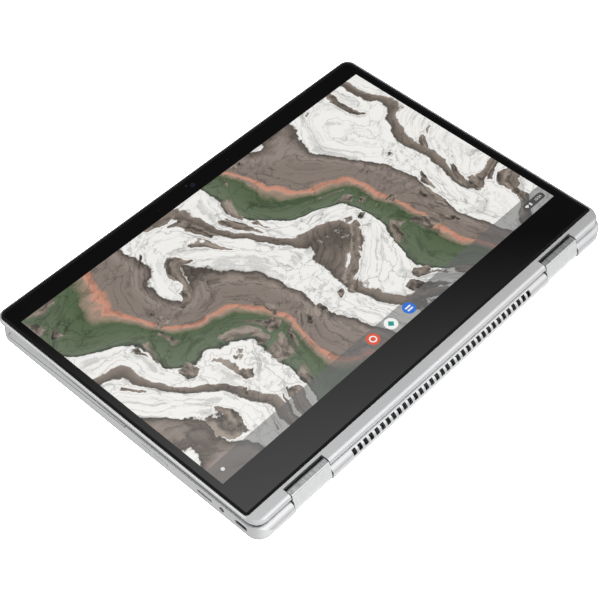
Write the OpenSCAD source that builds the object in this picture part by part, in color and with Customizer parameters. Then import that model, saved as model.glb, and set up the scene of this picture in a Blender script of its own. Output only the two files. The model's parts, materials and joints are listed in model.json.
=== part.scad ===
// Fourteen-inch convertible laptop, folded right round for use as a tablet.
// X runs along the hinge, +Y points away from it and +Z points up, out of the screen.
// The keyboard deck faces down, on z = 0. All lengths are in millimetres.

/* [Case] */
// Width of the lid
case_w = 325.4; // [322:0.5:340]
// Depth of the folded computer, from the hinge edge to the lid's free edge
case_d = 227; // [224:0.5:240]
// Thickness of the keyboard half
base_t = 10.3; // [10:0.1:13]
// Thickness of the screen half
lid_t = 5.2; // [5.2:0.1:6.5]
// Gap between deck and glass when the computer is shut
closed_gap = 0.5; // [0.4:0.1:1.5]
// Gap between the two halves when they are folded back to back
tablet_gap = 1.2; // [1.2:0.1:2.5]
// How far the keyboard half stops short of the lid's free edge
base_front_inset = 0.8; // [0:0.1:3]
// How far the keyboard half stops short of the lid at each side
base_side_inset = 0.2; // [0:0.1:2]
// Plan radius of the keyboard half's front corners
base_corner_r = 10; // [8:0.5:14]
// Plan radius of the lid's free corners
lid_corner_r = 7; // [6:0.5:10]
// Plan radius of the corners beside the hinge
rear_corner_r = 12; // [6:0.5:13]
// Wall of the keyboard half at its sides
side_wall = 2.2; // [1.8:0.1:3]
// Wall of the keyboard deck
deck_wall = 1.4; // [1:0.1:1.6]
// Wall of the bottom cover
cover_wall = 1.2; // [0.9:0.1:1.5]
// Wall of the rounded rear edge
rear_wall = 1.3; // [1:0.1:1.8]
// Rounding of the deck's edge
deck_edge_r = 1.3; // [0.5:0.1:1.5]
// Inset of the bottom cover's chamfer at the front
chamfer_in = 2; // [1:0.1:2.1]
// Height of the bottom cover's chamfer at the front
chamfer_h = 4.6; // [2:0.1:5]
// Distance behind the front corners over which the side chamfer fades out
chamfer_fade = 115; // [60:1:125]
// Height of the lid's upright rim, above its rounded back edge
lid_rim_h = 1.5; // [1:0.1:2]
// Rounding of the lid's edge round the glass
lid_edge_r = 0.7; // [0.3:0.1:0.9]
// How far the keyboard half's rear edge stands behind the lid's
base_nose = 0.6; // [0:0.1:0.6]
// Height of the groove under the bottom cover's edge
groove_h = 0.5; // [0.3:0.1:0.8]
// Depth of the groove under the bottom cover's edge
groove_in = 0.8; // [0.4:0.1:1]

/* [Display] */
// Rim of the lid beside the glass
glass_side_rim = 1.2; // [1:0.05:1.6]
// Distance from the hinge axis to the glass's hinge edge
glass_hinge_gap = 6.4; // [6.2:0.1:8.6]
// Thickness of the cover glass
glass_t = 0.7; // [0.5:0.1:0.9]
// Rim of the lid in front of the glass
glass_rim = 0.8; // [0.8:0.05:1.5]
// Width of the rubber gasket round the glass
gasket_w = 2; // [1.5:0.1:2.2]
// Margin between the glass's sides and the panel
panel_side = 4; // [3.5:0.25:6]
// Margin between the glass's hinge edge and the panel
panel_chin = 19.4; // [17.4:0.1:24]
// Thickness of the liquid-crystal panel
panel_t = 2.8; // [2:0.1:2.8]
// Margin between the glass's free edge and the panel
panel_margin = 10.6; // [10.5:0.1:13]
// Wall of the lid's back
lid_wall = 1.2; // [1:0.1:1.4]
// Width of the ledge that the glass is glued to
glass_ledge = 3.3; // [3:0.1:3.5]

/* [Hinge] */
// Distance of each hinge's middle from the lid's side
hinge_inset = 44.8; // [41:0.1:52]
// Width of each hinge notch
notch_w = 32.5; // [30:0.5:36]
// Gap at each end of a hinge barrel
barrel_gap = 0.6; // [0.3:0.05:0.8]
// Radius of the barrel round the keyboard half's axis
barrel_r = 5; // [4.6:0.05:5.05]
// Half width of the barrel at the lid's axis
barrel_half = 2.5; // [2.4:0.05:2.7]
// Height of the barrel's flat top above the lid's axis
barrel_top = 2.3; // [2.1:0.05:2.3]
// Radius of the edges of the barrel's flat top
barrel_edge_r = 0.9; // [0.6:0.05:1.1]
// Radius of the shaft that the keyboard half carries
base_shaft_r = 1.6; // [1.3:0.05:1.8]
// Radius of the shaft that the lid carries
lid_shaft_r = 1.25; // [1:0.05:1.4]
// Running clearance of shafts and pins in their bores
running_gap = 0.05; // [0.02:0.01:0.08]
// Teeth on each hinge gear
gear_teeth = 10; // [10:1:12]
// Face width of the hinge gears
gear_w = 4; // [3:0.1:5]
// Radius of the pins that carry the idler gears
idler_pin_r = 0.5; // [0.4:0.05:0.6]
// Thickness of the plate that closes each barrel
barrel_cap_t = 1; // [0.6:0.1:1.4]

/* [Vents] */
// Plain stretch of rear edge between the slots and each hinge notch
vent_end_gap = 17; // [15:0.5:40]
// Distance from slot to slot
vent_pitch = 5; // [4:0.1:5.1]
// Width of each slot
vent_w = 3; // [2:0.1:3.4]
// Angle from the top of the rear edge to a slot's upper end
vent_from = 27; // [22:1:35]
// Angle from the top of the rear edge to a slot's lower end
vent_to = 76; // [60:1:80]

/* [Keyboard] */
// Distance from the sides of the keyboard half to the keys
keyboard_side = 23; // [21.5:0.25:27.5]
// Distance from one row of keys to the next
row_pitch = 18.6; // [18:0.1:18.8]
// Web between two keys
key_web = 2.6; // [2:0.1:4]
// Gap between a key and the edge of its hole
key_gap = 0.3; // [0.2:0.05:0.5]
// Depth of the function row
function_row_d = 11.5; // [10:0.5:13]
// Thickness of a key cap
key_t = 1.6; // [1.2:0.1:1.8]
// Travel of a key
key_travel = 1.3; // [1:0.1:1.5]
// Depth of a key's face below the deck
key_recess = 0.35; // [0.3:0.05:0.6]
// Radius of a key's corners
key_r = 1.4; // [0.8:0.1:2]
// Distance from the rear edge to the keyboard
keyboard_y = 31.5; // [31:0.5:34]
// Border of the keyboard frame round the outer keys
frame_border = 1.6; // [1:0.1:2.2]
// Thickness of the keyboard frame's webs
web_t = 0.8; // [0.6:0.1:1.1]
// Thickness of the steel plate under the keys
plate_t = 0.5; // [0.3:0.05:0.6]

/* [Touchpad] */
// Width of the touchpad
pad_w = 105; // [90:1:112]
// Gap between the keys and the touchpad
pad_key_gap = 21.2; // [19.2:0.2:31]
// Gap between the touchpad and the front edge
pad_front = 9; // [7:0.5:12]
// Gap round the touchpad
pad_gap = 0.3; // [0.2:0.05:0.5]
// Thickness of the touchpad's glass and board
pad_t = 1.3; // [1:0.1:1.5]
// Click of the touchpad's front edge, in degrees
pad_click = 0.4; // [0.2:0.05:0.5]

/* [Ports and buttons] */
// Height of the ports' centre line above the deck
port_z = 5.5; // [5.4:0.1:6]
// Distance from the rear edge to the reversible sockets
usb_c_y = 15.1; // [14.5:0.1:16]
// Width of a reversible socket's mouth
usb_c_w = 8.4; // [8.2:0.1:8.8]
// Height of a reversible socket's mouth
usb_c_h = 2.6; // [2.5:0.1:2.8]
// Distance from the rear edge to the headset jack
jack_y = 30.5; // [29:0.5:32]
// Diameter of the headset jack's hole
jack_d = 3.6; // [3.5:0.05:3.8]
// Distance from the rear edge to the memory card slot
card_y = 44.2; // [43.5:0.1:45]
// Width of the memory card slot
card_w = 11.2; // [11:0.1:12]
// Height of the memory card slot
card_h = 1.5; // [1.2:0.1:1.8]
// Distance from the rear edge to the rectangular socket
usb_a_y = 36; // [35:0.5:38]
// Width of the rectangular socket's mouth
usb_a_w = 12.6; // [12.4:0.1:13]
// Height of the rectangular socket's mouth
usb_a_h = 5.2; // [5.1:0.1:5.4]
// Sheet thickness of the sockets' shells
shell_t = 0.35; // [0.3:0.05:0.4]
// Distance from the rear edge to the volume rocker's middle
volume_y = 80.5; // [80:0.5:84]
// Length of the volume rocker
volume_l = 11.6; // [9:0.1:13]
// Distance from the rear edge to the power button's middle
power_y = 93; // [92.5:0.5:96]
// Length of the power button
power_l = 7; // [5:0.1:8]
// Height of the buttons
button_h = 2.2; // [1.8:0.1:2.8]
// Travel of the buttons
button_travel = 0.4; // [0.3:0.05:0.6]

/* [Cooling] */
// Gap between the heat sink and the leaf of the right hinge
fin_leaf_gap = 2.55; // [0.55:0.25:5.3]
// Distance from the rear edge to the fan's middle
fan_y = 54; // [52:0.5:58]
// Radius of the impeller
fan_r = 21; // [18:0.5:22]
// Height of the fan housing
fan_h = 4.8; // [4.4:0.1:4.9]
// Blades of the impeller
fan_blades = 23; // [15:2:31]
// Number of fins of the heat sink
fin_count = 26; // [16:1:30]

/* [Battery and boards] */
// Width of one battery cell
cell_w = 74; // [60:1:76]
// Distance from the front edge to the battery cells
battery_front = 15.1; // [14.6:0.5:33.1]
// Gap between the keyboard plate's rib and the battery cells
battery_rib_gap = 2.5; // [2.2:0.1:6]
// Thickness of a battery cell
cell_t = 4.5; // [3.5:0.1:4.6]
// Thickness of the circuit boards
board_t = 0.8; // [0.6:0.1:1]
// Height of the rubber feet
foot_h = 0.9; // [0.6:0.1:0.9]

/* [Hidden] */
$fn = 64;

// Small distance by which cutters pass through a face
eps = 0.2;
// Gap between two fixed pieces of one half
seam = 0.1;

base_w = case_w - 2 * base_side_inset;
rear_y = base_nose - case_d / 2;
base_front = case_d / 2 - base_front_inset;
lid_front = case_d / 2;

// Heights of the two hinge axes: with these sums the halves lie flat at both ends of the fold
axis_y = rear_y + base_t / 2;
nose_y = axis_y - base_nose;
base_axis_z = base_t / 2 + 0.1;
lid_axis_drop = (base_t + lid_t + tablet_gap - closed_gap) / 2 - base_axis_z;
axis_gap = base_axis_z + lid_axis_drop + closed_gap;
lid_axis_z = base_axis_z + axis_gap;
glass_top = lid_axis_z + lid_axis_drop;
lid_z = glass_top - lid_t;
lid_rear = axis_y - lid_t / 2;

// Notches: each is deep enough for the other half's or the barrel's sweep
base_notch_y = axis_y + barrel_r + 0.8;
lid_notch_y = axis_y + norm([barrel_half, barrel_top]) + 1;
hinge_x = case_w / 2 - hinge_inset;
notch_x0 = hinge_x - notch_w / 2;
barrel_l = notch_w - 2 * barrel_gap;
barrel_x0 = hinge_x - barrel_l / 2;

// Inside of the keyboard half
inner_w = base_w - 2 * side_wall;
inner_front = base_front - side_wall;
inner_top = base_t - cover_wall;
notch_wall_y = base_notch_y + rear_wall;
cover_rear = notch_wall_y + 1.5;
rim_w = 1.4;

// Slots of the rear edge
vent_count = 1 + floor((2 * (notch_x0 - vent_end_gap) - vent_w) / vent_pitch);

// Keyboard
kb_units = 15;
kb_w = base_w - 2 * keyboard_side;
key_pitch = kb_w / kb_units;
kb_d = function_row_d + 5 * row_pitch;
kb_y0 = rear_y + keyboard_y;
kb_front = kb_y0 + kb_d;
frame_w = kb_w + 2 * frame_border;
frame_d = kb_d + 2 * frame_border;
kb_mid_y = kb_y0 + kb_d / 2;
plate_z = key_recess + key_t + key_travel + 0.15;
plate_top = plate_z + plate_t;
plate_rib = 3;
function_row = [for (i = [1:14]) kb_units / 14];
number_row = [1, 1, 1, 1, 1, 1, 1, 1, 1, 1, 1, 1, 1, 2];
upper_row = [1.5, 1, 1, 1, 1, 1, 1, 1, 1, 1, 1, 1, 1, 1.5];
home_row = [1.75, 1, 1, 1, 1, 1, 1, 1, 1, 1, 1, 1];
home_u = 12.75;
lower_row = [2.25, 1, 1, 1, 1, 1, 1, 1, 1, 1, 1, 2.75];
left_keys = [1.5, 1.25, 1.25];
space_u = 6;
right_keys = [1, 1];
arrow_u = 12;

// Touchpad
pad_y1 = base_front - pad_front;
pad_y0 = kb_front + pad_key_gap;
pad_d = pad_y1 - pad_y0;
pad_z = 0.25;
pad_clear = pad_d * sin(pad_click) + 0.1;
pad_bracket_z = pad_z + pad_t + pad_clear;
pad_bracket_t = 0.6;

// Boards, ports and cooling
board_z = plate_top + 1.1;
port_board_z = port_z - 3 - board_t;
port_board_top = port_board_z + board_t;
port_board_w = 12.5;
port_board_x = inner_w / 2 - port_board_w - 0.3;
port_board_y0 = rear_y + 8.5;
port_board_y1 = rear_y + 50;
fan_z = plate_top + 0.15;
fan_mid_y = rear_y + fan_y;
fan_half = fan_r + 2.6;
fin_w = 2 * fan_half - 8;
leaf_w = 23.5;
leaf_x1 = notch_x0 - 3;
fan_x = leaf_x1 - leaf_w - fin_leaf_gap - fin_w / 2;
fin_y0 = axis_y + 5;
fin_y1 = fan_mid_y - fan_half - 0.6;
fin_d = fin_y1 - fin_y0;
pipe_t = 1.3;
pipe_w = 6;
pipe_z = inner_top - pipe_t - 0.15;
board_x0 = -inner_w / 2 + 42.3;
board_x1 = fan_x - fan_half - 10;
chip_x = board_x1 - 37.4;
chip_y = rear_y + 66;
chip_t = 1;
chip_w = 14;
cell_gap = 2;
battery_y0 = kb_front + frame_border + plate_rib + battery_rib_gap;
cell_d = base_front - battery_front - battery_y0;
battery_mid_y = battery_y0 + cell_d / 2;
battery_z = pad_bracket_z + pad_bracket_t + 0.15;
battery_tray_t = 0.5;
speaker_l = 62;
speaker_w = 9.8;
speaker_y = kb_y0 + 62;
grille_w = 7;
grille_d = 78;
grille_t = 0.8;
grille_x = (base_w / 2 + frame_w / 2) / 2 - 0.4;

// ---- outlines and edge sections ---------------------------------------------------------------

// Rectangle with round corners, about the origin
module rounded_rect(w, d, r) {
    square([w - 2 * r, d], center = true);
    square([w, d - 2 * r], center = true);
    for (x = [-1, 1], y = [-1, 1]) translate([x * (w / 2 - r), y * (d / 2 - r)]) circle(r);
}

// Slot outline with round ends, w long and h high
module stadium(w, h) {
    square([w - h, h], center = true);
    for (x = [-1, 1]) translate([x * (w - h) / 2, 0]) circle(h / 2);
}

// Square with its outer corner at (r, 0) rounded away: subtract it to round a section's edge
module edge_round(r) {
    difference() {
        translate([0, -eps]) square([r + eps, r + eps]);
        translate([0, r]) circle(r);
    }
}

// Carries a section drawn as X to the right and Y up onto the plane that faces along +X
module along_x(l) {
    rotate([90, 0, 90]) linear_extrude(l, center = true) children();
}

// Slab with a moulded edge on its sides, front and front corners. child 0 is the section of the
// sides and child 1 that of the front, both m wide with their outer face at m.
module edged_slab(w, y0, y1, t, r, m) {
    for (side = [0, 1]) mirror([side, 0, 0]) {
        translate([w / 2 - m, y1 - r, 0]) rotate([90, 0, 0]) linear_extrude(y1 - r - y0) children(0);
        translate([w / 2 - r, y1 - r, 0]) rotate_extrude(angle = 90) translate([r - m, 0]) children(1);
    }
    translate([0, y1 - m, 0]) along_x(w - 2 * r) children(1);
    linear_extrude(t) {
        inner_r = r - m + eps;
        translate([0, (y0 + y1 - r) / 2]) square([w - 2 * (m - eps), y1 - r - y0], center = true);
        translate([0, y1 - r]) square([w - 2 * r, 2 * inner_r], center = true);
        for (x = [-1, 1]) translate([x * (w / 2 - r), y1 - r]) circle(inner_r);
    }
}

// Everything before the half-round rear edge of a slab t thick, whose round has its middle at yc
module rear_form(w, t, yc, y1) {
    intersection() {
        along_x(w + 2) {
            translate([yc, t / 2]) circle(t / 2);
            translate([yc, 0]) square([y1 - yc + 1, t]);
        }
        translate([0, 0, -1]) linear_extrude(t + 2) {
            y0 = yc - t / 2;
            translate([0, (y0 + y1 + 1) / 2]) square([w - 2 * rear_corner_r, y1 + 1 - y0], center = true);
            translate([0, (y0 + rear_corner_r + y1 + 1) / 2])
                square([w + 1, y1 + 1 - y0 - rear_corner_r], center = true);
            for (x = [-1, 1]) translate([x * (w / 2 - rear_corner_r), y0 + rear_corner_r]) circle(rear_corner_r);
        }
    }
}

// ---- keyboard half ----------------------------------------------------------------------------

chamfer_y = base_front - base_corner_r;
chamfer_slope = atan(chamfer_h / chamfer_fade);
edge_m = 3;

module base_side_section() {
    difference() {
        square([edge_m, base_t]);
        translate([edge_m - deck_edge_r, 0]) edge_round(deck_edge_r);
    }
}

module base_front_section() {
    difference() {
        base_side_section();
        translate([edge_m, base_t]) chamfer_section();
    }
}

// Section that the chamfer takes off an outer upper edge at the origin
module chamfer_section() {
    polygon([
        [-2 * chamfer_in, chamfer_h],
        [1, -chamfer_h * (1 + 1 / chamfer_in)],
        [1, chamfer_h]
    ]);
}

// Outer form of the keyboard half: half round behind, chamfered in front, the side chamfers fading
module base_form() {
    difference() {
        intersection() {
            edged_slab(base_w, rear_y - 1, base_front, base_t, base_corner_r, edge_m) {
                base_side_section();
                base_front_section();
            }
            rear_form(base_w, base_t, nose_y, base_front);
        }
        for (side = [0, 1]) mirror([side, 0, 0])
            translate([base_w / 2, chamfer_y + 0.06, base_t]) rotate([-chamfer_slope, 0, 0])
                rotate([90, 0, 0]) linear_extrude(chamfer_fade + 20) chamfer_section();
    }
}

// Wedge that the bottom cover's front part fills, grown by g
module cover_wedge(g) {
    wedge_y = chamfer_y - chamfer_fade + 10;
    step = 0.45;
    along_x(case_w + 10) polygon([
        [wedge_y - g, base_t + 1],
        [wedge_y - g, base_t - step - g],
        [chamfer_y, base_t - chamfer_h - g],
        [case_d, base_t - chamfer_h - g],
        [case_d, base_t + 1]
    ]);
}

// Groove in the top case along the outer edge of the wedge
module cover_groove() {
    intersection() {
        cover_wedge(seam + groove_h);
        linear_extrude(base_t + 1) difference() {
            square([case_w + 10, case_d + 10], center = true);
            translate([0, base_front - groove_in - case_d / 2])
                rounded_rect(base_w - 2 * groove_in, case_d, base_corner_r - groove_in);
        }
    }
}

// Space that the bottom cover fills, grown by g: the wedge over the front and an inlaid panel behind
module cover_zone(g) {
    cover_wedge(g);
    translate([0, (cover_rear + inner_front) / 2, inner_top - g]) linear_extrude(cover_wall + 2)
        rounded_rect(base_w - 2 * rim_w + 2 * g, inner_front - cover_rear + 2 * g, 6);
}

// Hollow of the keyboard half, from the deck wall up to the cover
module base_hollow() {
    translate([0, (notch_wall_y + inner_front) / 2, deck_wall])
        linear_extrude(inner_top - deck_wall) rounded_rect(inner_w, inner_front - notch_wall_y, base_corner_r - side_wall);
    // corners outside the hinges, where the rear sockets sit
    corner_x = hinge_x + notch_w / 2 + 1.6;
    corner_y0 = rear_y + 7.5;
    corner_y1 = notch_wall_y + base_corner_r;
    for (x = [-1, 1]) translate([x * (corner_x + inner_w / 2) / 2, (corner_y0 + corner_y1) / 2, deck_wall])
        linear_extrude(inner_top - deck_wall) square([inner_w / 2 - corner_x, corner_y1 - corner_y0], center = true);
    // rounded duct behind the vents, between the hinges
    duct_w = 2 * (notch_x0 - 1.6);
    along_x(duct_w) {
        translate([nose_y, base_t / 2]) circle(base_t / 2 - rear_wall);
        translate([nose_y, rear_wall]) square([notch_wall_y + 1 - nose_y, base_t - 2 * rear_wall]);
    }
}

module hinge_notches(y1, z0, z1) {
    for (x = [-1, 1]) translate([x * hinge_x - notch_w / 2, rear_y - 1, z0])
        cube([notch_w, y1 - rear_y + 1, z1 - z0]);
}

module vent_slots() {
    mid = (vent_from + vent_to) / 2;
    half = (vent_to - vent_from) / 2;
    slot_h = base_t * sin(half);
    for (i = [0:vent_count - 1]) translate([(i - (vent_count - 1) / 2) * vent_pitch, nose_y, base_t / 2])
        rotate([mid, 0, 0]) translate([-vent_w / 2, -slot_h / 2, base_t / 2 - rear_wall - 1])
            cube([vent_w, slot_h, rear_wall + 2]);
}

// Runs its child along X through the side wall: x = -1 for the left side and 1 for the right
module through_side(x, y, z) {
    translate([x * (base_w / 2 + 1), rear_y + y, z]) rotate([90, 0, -90 * x])
        translate([0, 0, -0.5]) linear_extrude(side_wall + 2) children();
}

module top_case() {
    color("silver") {
        difference() {
            union() {
                difference() {
                    base_form();
                    cover_zone(seam);
                    cover_groove();
                    base_hollow();
                }
                plate_seat();
                port_bosses();
                grille_rims();
                screw_bosses();
            }
            hinge_notches(base_notch_y, -1, base_t + 1);
            vent_slots();
            shaft_holes();
            // openings in the deck
            translate([0, kb_mid_y, -1]) linear_extrude(deck_wall + 2) rounded_rect(frame_w + 2 * seam, frame_d + 2 * seam, 3);
            translate([0, (pad_y0 + pad_y1) / 2, -1]) linear_extrude(deck_wall + 2)
                rounded_rect(pad_w + 2 * pad_gap, pad_d + 2 * pad_gap, 2);
            for (x = [-1, 1]) translate([x * grille_x, speaker_y, -1])
                linear_extrude(1 + grille_t + 0.1) rounded_rect(grille_w + 2 * seam, grille_d + 2 * seam, 1.5);
            for (x = [-1, 1]) translate([x * grille_x, speaker_y, 0])
                linear_extrude(deck_wall + 1) rounded_rect(grille_w - 1.2, grille_d - 1.2, 1);
            // openings in the sides
            for (x = [-1, 1]) through_side(x, usb_c_y, port_z) stadium(usb_c_w + 2 * shell_t + 0.4, usb_c_h + 2 * shell_t + 0.4);
            through_side(-1, jack_y, port_z) circle(d = jack_d + 0.2);
            through_side(-1, card_y, port_z) square([card_w + 0.4, card_h + 0.4], center = true);
            through_side(1, usb_a_y, usb_a_z) square([usb_a_w + 2 * shell_t + 0.3, usb_a_h + 2 * shell_t + 0.3], center = true);
            through_side(-1, volume_y, port_z) stadium(volume_l + 0.3, button_h + 0.3);
            through_side(-1, power_y, port_z) stadium(power_l + 0.3, button_h + 0.3);
        }
    }
}

// Rib round the keyboard opening, which the steel plate is screwed to
module plate_seat() {
    translate([0, kb_mid_y, deck_wall - 0.4]) linear_extrude(plate_z - deck_wall + 0.4) difference() {
        rounded_rect(frame_w + 2 * plate_rib, frame_d + 2 * plate_rib, 4);
        rounded_rect(frame_w + 2 * seam, frame_d + 2 * seam, 3);
    }
}

// Bosses under the two port boards
module port_bosses() {
    for (x = [-1, 1], y = [port_board_y0 + 3, port_board_y1 - 3])
        translate([x * (port_board_x + port_board_w - 3), y, deck_wall - 0.4])
            cylinder(r = 1.8, h = port_board_z - deck_wall + 0.4);
}

// Raised rims that carry the speakers over their grilles
module grille_rims() {
    for (x = [-1, 1]) translate([x * grille_x, speaker_y, deck_wall - 0.4]) linear_extrude(0.8) difference() {
        rounded_rect(grille_w + 1.2, grille_d + 1.2, 1.5);
        rounded_rect(grille_w - 1.2, grille_d - 1.2, 1);
    }
}

// Holes through which the hinge shafts leave the keyboard half
module shaft_holes() {
    for (side = [0, 1]) mirror([side, 0, 0])
        translate([notch_x0 - 3, axis_y, base_axis_z]) rotate([0, 90, 0])
            cylinder(r = base_shaft_r + 0.3, h = 4);
}

screw_r = 1.6;
screw_head_r = 2.6;
screw_boss_r = 3;
// Screws of the bottom cover: behind, beside the speakers, in the front corners and at the front edge
half_screws = [
    [inner_w / 2 - 32, cover_rear + 4],
    [inner_w / 2 - 10, speaker_y + speaker_l / 2 + 6],
    [inner_w / 2 - 12, base_front - 17],
    [pad_w / 2 + 10, base_front - 8.5]
];

module at_screws() {
    for (x = [-1, 1], p = half_screws) translate([x * p[0], p[1], 0]) children();
    translate([0, cover_rear + 4, 0]) children();
}

// Bosses in the top case that the cover's screws go into
module screw_bosses() {
    at_screws() translate([0, 0, deck_wall - 0.4]) difference() {
        cylinder(r = screw_boss_r, h = inner_top - deck_wall + 0.3);
        translate([0, 0, 1]) cylinder(r = screw_r - 0.2, h = inner_top);
    }
}

foot_w = base_w - 2 * 57.5;
foot_d = 7;
foot_ys = [cover_rear + 12, base_front - 26];
foot_sink = 0.5;

module bottom_cover() {
    color("lightgray") difference() {
        intersection() {
            base_form();
            cover_zone(0);
        }
        base_hollow();
        // seats of the rubber feet
        for (y = foot_ys) translate([0, y, base_t - foot_sink]) linear_extrude(1 + foot_sink)
            stadium(foot_w + 2 * seam, foot_d + 2 * seam);
        // screw holes with sunk heads
        at_screws() translate([0, 0, inner_top - 1]) cylinder(r = screw_r, h = cover_wall + 2);
        at_screws() translate([0, 0, base_t - 0.6]) cylinder(r = screw_head_r, h = 1);
        // air intake under the fan
        for (i = [-5:5]) translate([fan_x, fan_mid_y + i * 3.4, inner_top - 1])
            linear_extrude(cover_wall + 2) stadium(2 * sqrt(pow(fan_r - 1, 2) - pow(i * 3.4, 2)), 1.6);
    }
}

module rubber_feet() {
    color("dimgray") for (y = foot_ys) translate([0, y, base_t - foot_sink]) {
        linear_extrude(foot_sink + foot_h - 0.3) stadium(foot_w, foot_d);
        linear_extrude(foot_sink + foot_h) stadium(foot_w - 0.8, foot_d - 0.8);
    }
}

module bottom_screws() {
    color("gray") at_screws() difference() {
        union() {
            translate([0, 0, base_t - 0.6]) cylinder(r = screw_head_r - 0.15, h = 0.5);
            translate([0, 0, base_t - 4.2]) cylinder(r = screw_r - 0.3, h = 3.8);
        }
        translate([0, 0, base_t - 0.5]) cylinder(r = 0.8, h = 1, $fn = 6);
    }
}

// ---- keyboard ---------------------------------------------------------------------------------

// Sum of a row's key widths before key i
function before(row, i) = i == 0 ? 0 : row[i - 1] + before(row, i - 1);
// Nearest fiftieth of a millimetre, so that a key's centre and its half width stay round numbers
function snap(v) = round(v * 50) / 50;
function row_y(n) = kb_y0 + function_row_d + (n - 1) * row_pitch;

// Places its child's outline on each key of a row: u0 is the row's first unit
module key_outlines(row, u0, y, d, g) {
    for (i = [0:len(row) - 1])
        translate([snap(-kb_w / 2 + (u0 + before(row, i) + row[i] / 2) * key_pitch), snap(y + d / 2)])
            rounded_rect(snap(row[i] * key_pitch - key_web) + 2 * g, snap(d - key_web) + 2 * g, key_r);
}

module arrow_outlines(g) {
    half = (row_pitch - key_web - 1) / 2;
    x0 = -kb_w / 2 + arrow_u * key_pitch;
    y0 = row_y(5);
    for (i = [0, 2]) translate([x0 + (i + 0.5) * key_pitch, y0 + row_pitch - key_web / 2 - half / 2])
        rounded_rect(key_pitch - key_web + 2 * g, half + 2 * g, key_r);
    for (s = [-1, 1]) translate([x0 + 1.5 * key_pitch, y0 + row_pitch / 2 + s * (half + 1) / 2])
        rounded_rect(key_pitch - key_web + 2 * g, half + 2 * g, key_r);
}

module all_key_outlines(g) {
    key_outlines(function_row, 0, kb_y0, function_row_d, g);
    key_outlines(number_row, 0, row_y(1), row_pitch, g);
    key_outlines(upper_row, 0, row_y(2), row_pitch, g);
    key_outlines(home_row, 0, row_y(3), row_pitch, g);
    key_outlines([kb_units - home_u], home_u, row_y(3), row_pitch, g);
    key_outlines(lower_row, 0, row_y(4), row_pitch, g);
    key_outlines(left_keys, 0, row_y(5), row_pitch, g);
    key_outlines([space_u], 4, row_y(5), row_pitch, g);
    key_outlines(right_keys, 4 + space_u, row_y(5), row_pitch, g);
    arrow_outlines(g);
}

module key_caps() {
    color("gainsboro") translate([0, 0, key_recess]) linear_extrude(key_t) children();
}

module function_keys() {
    key_caps() key_outlines(function_row, 0, kb_y0, function_row_d, 0);
}

module number_keys() {
    key_caps() key_outlines(number_row, 0, row_y(1), row_pitch, 0);
}

module upper_letter_keys() {
    key_caps() key_outlines(upper_row, 0, row_y(2), row_pitch, 0);
}

module home_letter_keys() {
    key_caps() key_outlines(home_row, 0, row_y(3), row_pitch, 0);
}

module enter_key() {
    key_caps() key_outlines([kb_units - home_u], home_u, row_y(3), row_pitch, 0);
}

module lower_letter_keys() {
    key_caps() key_outlines(lower_row, 0, row_y(4), row_pitch, 0);
}

module bottom_keys() {
    key_caps() key_outlines(left_keys, 0, row_y(5), row_pitch, 0);
    key_caps() key_outlines(right_keys, 4 + space_u, row_y(5), row_pitch, 0);
}

module space_bar() {
    key_caps() key_outlines([space_u], 4, row_y(5), row_pitch, 0);
}

module arrow_keys() {
    key_caps() arrow_outlines(0);
}

// Webs between the keys, with a skirt that stands on the steel plate
module keyboard_frame() {
    skirt = 0.8;
    web_z = key_recess + 0.1;
    color("darkgray") difference() {
        translate([0, kb_mid_y, web_z]) linear_extrude(plate_z - web_z) rounded_rect(frame_w, frame_d, 3);
        translate([0, kb_mid_y, web_z + web_t]) linear_extrude(plate_z)
            rounded_rect(frame_w - 2 * skirt, frame_d - 2 * skirt, 2.2);
        linear_extrude(plate_z) all_key_outlines(key_gap);
    }
}

module keyboard_plate() {
    color("slategray") translate([0, kb_mid_y, plate_z]) linear_extrude(plate_t)
        rounded_rect(frame_w + 2 * plate_rib, frame_d + 2 * plate_rib, 4);
}

// ---- touchpad ---------------------------------------------------------------------------------

module touchpad() {
    color("silver") translate([0, (pad_y0 + pad_y1) / 2, pad_z]) linear_extrude(pad_t) rounded_rect(pad_w, pad_d, 1.8);
}

// Sheet bracket over the touchpad, with feet on the deck at both sides
module touchpad_bracket() {
    foot = 5;
    foot_x = pad_w / 2 + foot / 2 + 1;
    d = pad_d - 8;
    color("slategray") translate([0, (pad_y0 + pad_y1) / 2, 0]) {
        translate([0, 0, pad_bracket_z]) linear_extrude(pad_bracket_t) rounded_rect(2 * foot_x + foot, d, 2);
        for (x = [-1, 1]) translate([x * foot_x - foot / 2, 4 - d / 2, deck_wall])
            cube([foot, d - 8, pad_bracket_z + pad_bracket_t / 2 - deck_wall]);
    }
}

// ---- buttons on the left side -----------------------------------------------------------------

button_proud = 0.15;
flange_gap = 0.3;
flange_t = 0.8;

// Button through the side wall, with a flange inside that keeps it in
module side_button(y, l) {
    stem = button_proud + side_wall + flange_gap;
    color("silver") translate([-base_w / 2 - button_proud, rear_y + y, port_z]) rotate([90, 0, 90]) {
        linear_extrude(stem + eps) stadium(l, button_h);
        translate([0, 0, stem]) linear_extrude(flange_t) stadium(l + 1.6, button_h + 1.2);
    }
}

module power_button() {
    side_button(power_y, power_l);
}

module volume_rocker() {
    side_button(volume_y, volume_l);
}

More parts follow.
